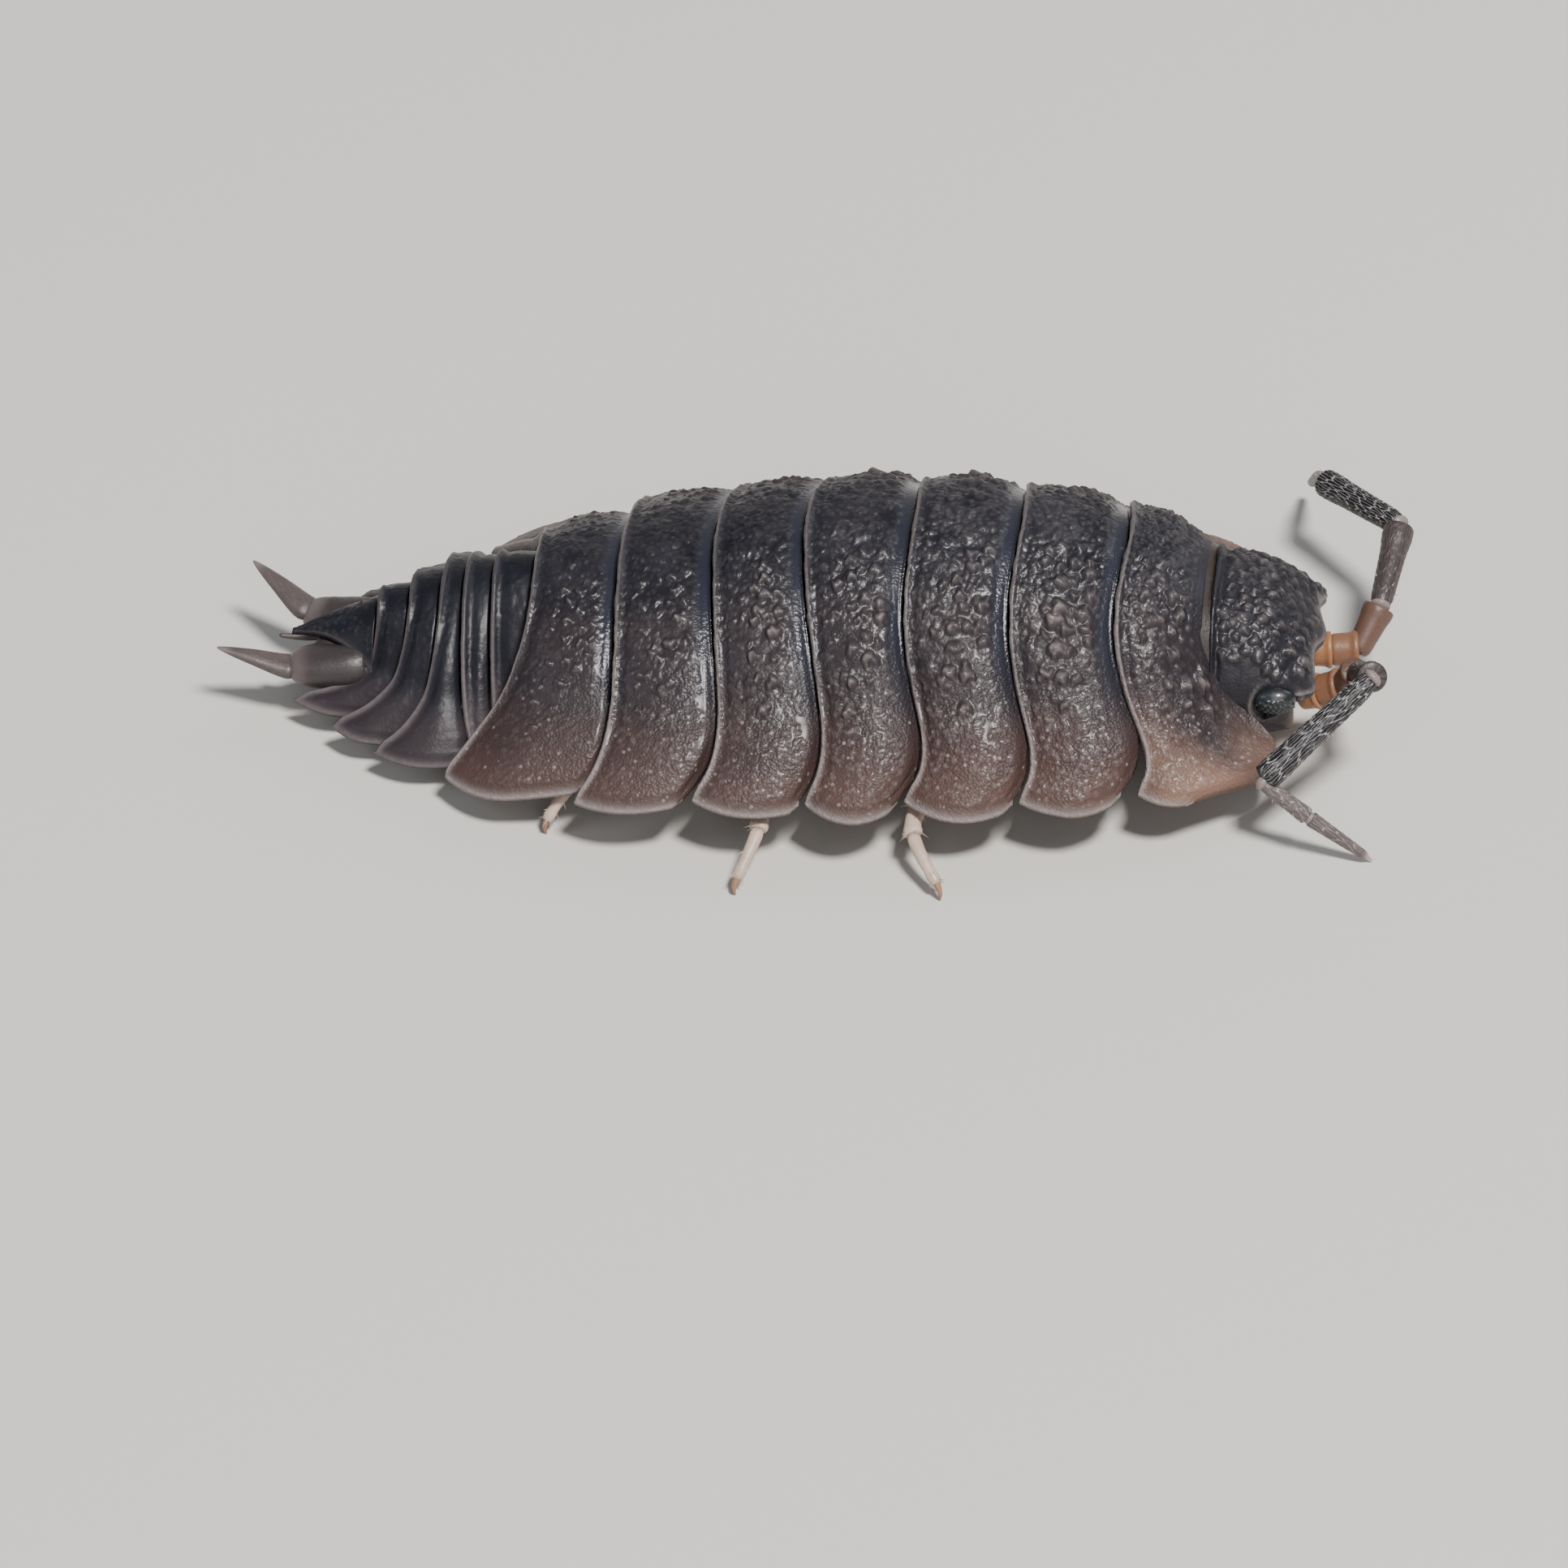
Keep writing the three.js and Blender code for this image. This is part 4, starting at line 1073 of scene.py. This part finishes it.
# Each article: where it starts and ends along the leg, and its two radii.
ARTICLES = {
    "basis": (0.0, 0.33, 0.19, 0.17), "ischium": (0.32, 0.46, 0.15, 0.15), "merus": (0.45, 0.57, 0.14, 0.14),
    "carpus": (0.56, 0.7, 0.13, 0.12), "propodus": (0.69, 0.93, 0.105, 0.075),
}
CLAW = {"start": 0.92, "root": 0.062, "tip": 0.016, "steps": 14}
# Bristles round a leg article: step along it, how many, and how long.
LEG_BRISTLES = ((-3, 7, 0.16), (12, 5, 0.12), (19, 4, 0.12))

# The first hip's own place, the line on which the other hips lie, and the hip's share of the half width.
HIP = {"first_x": 5.2, "line": 1.6, "share": 0.42}

def leg_path(index, sign, reach, ahead, knee_ahead=None):
    knee_ahead = 0.75 * ahead if knee_ahead is None else knee_ahead
    segment = TRUNK[index]
    hip = HIP["first_x"]
    if index > 0:
        hip = (hind_edge(TRUNK[index - 1], HIP["line"]) + hind_edge(segment, HIP["line"])) / 2
    hip_y = HIP["share"] * (segment["corner"] + segment["flare"])
    knee_y = mix(reach + 0.1, reach - 0.75, float(smooth(2, 4.2, reach)))
    stops = [(hip, hip_y, 1.4), (hip, hip_y + 0.02, 1.12),
             (hip + 0.33 * knee_ahead, mix(hip_y, knee_y, 0.4), 0.9), (hip + knee_ahead, knee_y, 0.68),
             (hip + ahead, reach, 0.17), (hip + ahead, reach, 0.01)]
    return curve_through([(x, sign * y, z) for x, y, z in stops], 200)

def part_of_path(path, along, start, end, steps):
    at = np.linspace(start, end, steps)
    return np.stack([np.interp(at, along / along[-1], path[:, k]) for k in range(3)], axis=1)

def make_leg(side, sign, index, stance):
    random = np.random.default_rng(100 + index + (50 if sign > 0 else 0))
    path, along = leg_path(index, sign, *stance)
    parts = []
    for name, (start, end, r0, r1) in ARTICLES.items():
        places = part_of_path(path, along, start, end, 26)
        flat = 0.8 if name == "basis" else 0.86
        parts.append(article(places, r0, r1, 18, flat=flat, swell=0.16, waist=0.3, joint=0.7))
        if name != "basis":
            for step, count, length in LEG_BRISTLES:
                add_bristles(side, random, places[step], unit(places[-1] - places[-3]), r1, count, length)
    points, faces, masks = join(parts)
    node = f"leg_{side}_{index + 1}"
    make_piece(f"{node}_joints", points, faces, leg_skin, (node,), masks)
    claw = part_of_path(path, along, CLAW["start"], 1.0, CLAW["steps"])
    radii = mix(CLAW["root"], CLAW["tip"], np.linspace(0, 1, CLAW["steps"]) ** 0.8)
    points, faces = loft(claw, radii, 12)[:2]
    points[:, 2] = np.maximum(points[:, 2], 0.0)
    make_piece(f"claw_{side}_{index + 1}", points, faces, claw_brown)

for side, sign in SIDES:
    for index, stance in enumerate(STANCE[side]):
        make_leg(side, sign, index, stance)
print("legs:", sum(len(row) for row in STANCE.values()))

# %% [markdown]
# A feeler has four short joints in its base, a long fifth one, and a lash of two. The fifth is black with a
# silver net of seams between long scales. Its net could be paint alone, but the real one also catches light,
# so the radius rises on each scale as well. Rings of soft skin fill the bends between the joints.

# %% Feelers
FEELER = {
    "left": {"root": (7.14, 0.52, 1.0), "third": (7.9, 0.62, 1.0), "knob": (8.17, 1.1, 1.42),
             "elbow": (8.36, 2.38, 1.92), "wrist": (7.12, 3.85, 1.55), "bend": (7.0, 4.5, 1.1),
             "tip": (6.8, 5.3, 0.42)},
    "right": {"root": (7.14, -0.52, 1.0), "third": (7.75, -0.6, 1.25), "knob": (8.0, -0.8, 1.68),
              "elbow": (8.3, -1.62, 2.22), "wrist": (6.8, -2.88, 1.24), "bend": (7.48, -3.0, 0.72),
              "tip": (8.38, -3.07, 0.05)},
}
# Rings of skin: place, next stop and radius. Bristles: first and last stop, limb radius and how many.
SKIN_RINGS = (("knob", "elbow", 0.15), ("elbow", "wrist", 0.15), ("wrist", "bend", 0.12),
              ("bend", "tip", 0.095))
FEELER_BRISTLES = (("knob", "elbow", 0.2, 26), ("elbow", "wrist", 0.2, 60), ("wrist", "bend", 0.12, 30))

def scale_rows(rows, columns, tall):
    """Relief of staggered long scales: highest in the middle of a scale, nothing along the seams."""
    def crest(u, angle):
        row = np.floor(u * rows)
        turn = angle * columns / (2 * math.pi)
        across = (turn + 0.5 * (row % 2) + 0.3 * np.sin(row * 2.3)) % 1 - 0.5
        along = (u * rows + 0.25 * np.sin(turn * 1.7)) % 1 - 0.5
        return tall * np.clip(1.7 - 3.9 * np.sqrt(across ** 2 + (along * (1 + 0.8 * across)) ** 2), 0, 1)
    return crest

def stretch(stop, start, end, low, high, steps):
    """A straight path between two stops of a feeler, from one share of the way to another."""
    a, b = stop[start], stop[end]
    return straight(mix(a, b, low), mix(a, b, high), steps)

def feeler_base(stop):
    first = article(stretch(stop, "root", "third", 0, 0.5, 30), 0.22, 0.25, 30, warm=0.9)
    second = article(stretch(stop, "root", "third", 0.45, 1, 30), 0.23, 0.25, 30, warm=0.55)
    third = article(stretch(stop, "third", "knob", -0.12, 0.98, 40), 0.17, 0.235, 30, swell=0.05, warm=0.22)
    fourth = article(stretch(stop, "knob", "elbow", -0.02, 0.985, 120), 0.155, 0.21, 60,
                     scale_rows(11, 20, 0.004), lines=0.5)
    return [first, second, third, fourth]

def feeler_fifth(stop):
    path = stretch(stop, "elbow", "wrist", 0.01, 0.985, 260)
    return [article(path, 0.165, 0.2, 120, scale_rows(15, 24, 0.007), lines=1.0, swell=0.05)]

def feeler_lash(stop):
    scales = scale_rows(9, 18, 0.004)
    upper = article(stretch(stop, "wrist", "bend", 0.02, 0.98, 90), 0.11, 0.12, 36, scales, lines=0.7,
                    swell=0.06)
    path = stretch(stop, "bend", "tip", 0.01, 1, 110)
    u = np.linspace(0, 1, len(path))
    taper = np.where(u < 0.82, mix(0.115, 0.07, u / 0.82), mix(0.07, 0.012, smooth(0.82, 1, u)))
    points, faces, where, turn = loft(path, taper * domed(u, 0.03, 0.05), 36,
                                      lambda share, angle: scales(share, angle) * (1 - share))
    points[:, 2] = np.maximum(points[:, 2], 0.01)
    masks = limb_masks(where, turn, float(np.linalg.norm(path[-1] - path[0])), 0.1,
                       joint=bump(where / 0.03), lines=0.7, pale=smooth(0.82, 0.95, where))
    return [upper, (points, faces, masks)]

def feeler_joint_skin(stop):
    rings = []
    for place, aim, radius in SKIN_RINGS:
        heading = unit(stop[aim] - stop[place])
        path = straight(stop[place] - heading * 0.07, stop[place] + heading * 0.09, 14)
        points, faces, where, turn = loft(path, radius * np.sin(np.linspace(0.5, math.pi - 0.5, 14)), 24)
        rings.append((points, faces, limb_masks(where, turn, 0.16, radius, warm=0.1, pale=0.35)))
    return rings

def make_feeler(side):
    stop = {k: np.array(v) for k, v in FEELER[side].items()}
    for part, shape, skin, slot, has_node in (
            ("base", feeler_base, feeler_base_skin, "feeler_base", True),
            ("fifth", feeler_fifth, feeler_skin, "feeler_fifth", True),
            ("lash", feeler_lash, lash_skin, "feeler_lash", True),
            ("joint_skin", feeler_joint_skin, lash_skin, "feeler_lash", False)):
        points, faces, masks = join(shape(stop))
        nodes = (f"antenna_{side}_{part}",) if has_node else ()
        make_piece(f"feeler_{side}_{part}", points, faces, skin, nodes, masks)

def add_feeler_bristles(side, random):
    stop = {k: np.array(v) for k, v in FEELER[side].items()}
    for start, end, radius, count in FEELER_BRISTLES:
        heading = unit(stop[end] - stop[start])
        for _ in range(count):
            at = mix(stop[start], stop[end], random.uniform(0.08, 0.96))
            add_bristles(side, random, at, heading, radius, 1, 0.07)

for side, sign in SIDES:
    make_feeler(side)
    add_feeler_bristles(side, np.random.default_rng(7 if sign > 0 else 8))
    bristle_mesh(side, 3 if sign > 0 else 4)

# %% [markdown]
# The tail ends in a pointed plate with hollow sides, behind the last ring. A cone would be too thick, so it
# is a sheet like the other plates, with a half width that shrinks to a point and a shallow trough down its
# middle.

# %% Tail plate
TAIL_PLATE = {"half": 0.78, "tip_half": 0.04, "grains": 160}

def tail_plate_point(s, v, t):
    y = -v * (TAIL_PLATE["half"] * (1 - s) ** 1.4 + TAIL_PLATE["tip_half"])
    x = mix(hind_edge(TAIL[4], np.minimum(np.abs(y), 0.4)) - CUT, TAIL_TIP, s)
    roof = height_at(CREST, x) - 0.12 - 0.6 * (y / TAIL_PLATE["half"]) ** 2
    return np.stack([x, y, mix(roof - mix(0.16, 0.06, s), roof, t)], axis=1)

def make_tail_plate():
    random = np.random.default_rng(21)
    count = TAIL_PLATE["grains"]
    coords, faces = box_grid(np.linspace(0, 1, 70), np.linspace(-1, 1, 70), np.array([0, 0.5, 1.0]))
    s, v, t = coords.T
    points = tail_plate_point(s, v, t)
    seats = tail_plate_point(random.uniform(0.05, 0.95, count), random.uniform(-0.9, 0.9, count),
                             np.ones(count))
    grains = [(*p, random.uniform(0.03, 0.05), random.uniform(0.005, 0.014)) for p in seats]
    grain = raise_lumps(points, grains)
    trough = 0.03 * bump(v / 0.35) * smooth(0.15, 0.5, s)
    points = points + normals_of(points, faces) * ((grain - trough) * (t > UPPER))[:, None]
    masks = {
        # Painted shade down the trough in the middle of the tail plate.
        "edge": 0.3 * bump((1 - np.abs(v)) / 0.07) * (t > 0.5), "groove": 0.4 * bump(v / 0.3) * (t > 0.9),
        "lump": np.clip(grain / 0.02, 0, 1) * 0.3, "side": 0.3 * smooth(0.6, 1, np.abs(v)),
        "fine": np.full(len(s), 0.3),
    }
    make_piece("tail_plate", points, faces, tail_shell, ("telson",), masks)
    print("tail plate", len(faces), "faces")

make_tail_plate()

# %% [markdown]
# Beside the tail plate stand two forked tail limbs. Each has a stout root, an outer spear that points back
# and up, and a thin inner rod under the plate. They could be cones, but the real spear swells behind its
# root and is a little flat, so they are lofted along curves with their own radii.

# %% Tail limbs
# Places on the left side. The outer spear has its own knee and tip on each side of the animal.
UROPOD = {
    "stem": ((-6.36, 0.56, 0.93), (-6.7, 0.56, 0.87), (-7.1, 0.57, 0.84)),
    "left": ((-7.42, 0.66, 0.94), (-8.27, 1.3, 1.28)), "right": ((-7.52, 0.6, 0.84), (-8.54, 0.62, 1.15)),
    "valve": ((-6.3, 0.26, 0.98), (-6.8, 0.24, 0.93), (-7.2, 0.2, 0.88)),
    "inner": ((-6.9, 0.5, 0.76), (-7.25, 0.36, 0.68), (-7.5, 0.32, 0.68), (-7.78, 0.28, 0.72)),
}

def tail_spear(root, knee, tip):
    path, _ = curve_through([mix(root, knee, 0.7), knee, mix(knee, tip, 0.5), tip], 110)
    u = np.linspace(0, 1, len(path))
    radii = 0.245 * (1 - u) ** 0.72 * (1 - 0.3 * bump(u / 0.06)) + 0.012
    points, faces, where, turn = loft(path, radii, 44, lambda share, angle: 0.006 * np.sin(2 * angle + 1)
                                      * (1 - share), flat=0.62)
    return points, faces, limb_masks(where, turn, 1.2, 0.15, joint=0.5 * bump(where / 0.1), lines=0.12,
                                     pale=0.4 * smooth(0.75, 1, where))

def tail_root(stops):
    path, _ = curve_through(stops, 60)
    radii = 0.37 * np.sqrt(np.clip(1 - np.abs((np.linspace(0, 1, 60) - 0.45) / 0.56) ** 3.4, 0.02, 1))
    points, faces, where, turn = loft(path, radii, 60, lambda u, angle: 0.012 * np.sin(3 * angle + 5 * u),
                                      flat=0.8)
    return points, faces, limb_masks(where, turn, 1.2, 0.3, joint=smooth(0.97, 0.6, where),
                                     pale=0.2 * smooth(0.7, 0.95, where))

def tail_valve(stops):
    """The smooth pad between a tail limb and the middle, under the tail plate."""
    path, _ = curve_through(stops, 50)
    radii = 0.26 * np.sqrt(np.clip(1 - np.abs((np.linspace(0, 1, 50) - 0.5) / 0.51) ** 3, 0.02, 1))
    points, faces, where, turn = loft(path, radii, 40, flat=0.75)
    return points, faces, limb_masks(where, turn, 0.9, 0.2, joint=1.0)

def make_tail_limb(side, sign):
    place = {key: [np.array(p) * (1, sign, 1) for p in stops] for key, stops in UROPOD.items()}
    knee, tip = place[side]
    inner_path, _ = curve_through(place["inner"], 50)
    points, faces, masks = join([
        tail_root(place["stem"] + [knee]), tail_spear(place["stem"][2], knee, tip),
        tail_valve(place["valve"]), article(inner_path, 0.1, 0.03, 20, swell=0.0)])
    make_piece(f"tail_limb_{side}", points, faces, uropod_skin, (f"uropod_{side}",), masks)
    print("tail limb", side, len(faces), "faces")

for side, sign in SIDES:
    make_tail_limb(side, sign)

# %% [markdown]
# Under the tail lie five pairs of gill covers, each overlapping the next like roof tiles, and under the head
# the mouthparts: a pair of long flat feet over a rounded lip. Little of these shows from the camera, so one
# leaf shape, squashed from a short loft, serves for all of them.

# %% Gill covers and mouthparts
# Each leaf: front end, length, width and thickness in millimetres, and how far its rear end drops.
MOUTH_LEAVES = (((6.92, 0.26, 0.7), 0.6, 0.5, 0.2, -0.03), ((7.05, 0.42, 0.78), 0.36, 0.24, 0.16, 0.0))
LIP_LEAF = ((7.12, 0.0, 0.82), 0.3, 0.5, 0.24, 0.0)
GILL_ROWS = 5

def leaf(front, length, width, thick, drop, steps=26, sides=40):
    """A thin rounded leaf lying under the body, its long way along X."""
    u = np.linspace(0, 1, steps)
    path = np.stack([front[0] - length * u, np.full(steps, front[1]), front[2] + drop * u], axis=1)
    radius = 0.5 * width * np.sqrt(np.clip(np.sin(math.pi * np.clip(u * 0.96 + 0.02, 0, 1)), 0.01, 1))
    points, faces, where, turn = loft(path, radius, sides)
    middle = np.repeat(path[:, 2], sides)
    points[:-2, 2] = middle + (points[:-2, 2] - middle) * (thick / width)
    return points, faces, limb_masks(where, turn, length, width / 2, joint=0.4 * smooth(0.7, 1, where))

def make_gills(side, sign):
    parts = []
    for row in range(GILL_ROWS):
        x, z = -4.18 - 0.41 * row, 0.92 - 0.055 * row
        outer = mix(1.4, 0.55, ((row + 0.5) / GILL_ROWS) ** 1.5)
        parts.append(leaf((x, sign * (0.08 + outer / 2), z), 0.62, outer, 0.16, -0.12))
    points, faces, masks = join(parts)
    make_piece(f"gill_covers_{side}", points, faces, belly_skin, (f"pleopods_{side}",), masks)

def make_mouth():
    parts = [leaf((x, sign * y, z), *sizes) for side, sign in SIDES for (x, y, z), *sizes in MOUTH_LEAVES]
    points, faces, masks = join(parts + [leaf(*LIP_LEAF)])
    masks["warm"] = masks["warm"] + 0.5
    make_piece("mouth_feet", points, faces, belly_skin, ("mouthparts",), masks)
    print("mouth leaves", len(parts) + 1)

for side, sign in SIDES:
    make_gills(side, sign)
make_mouth()
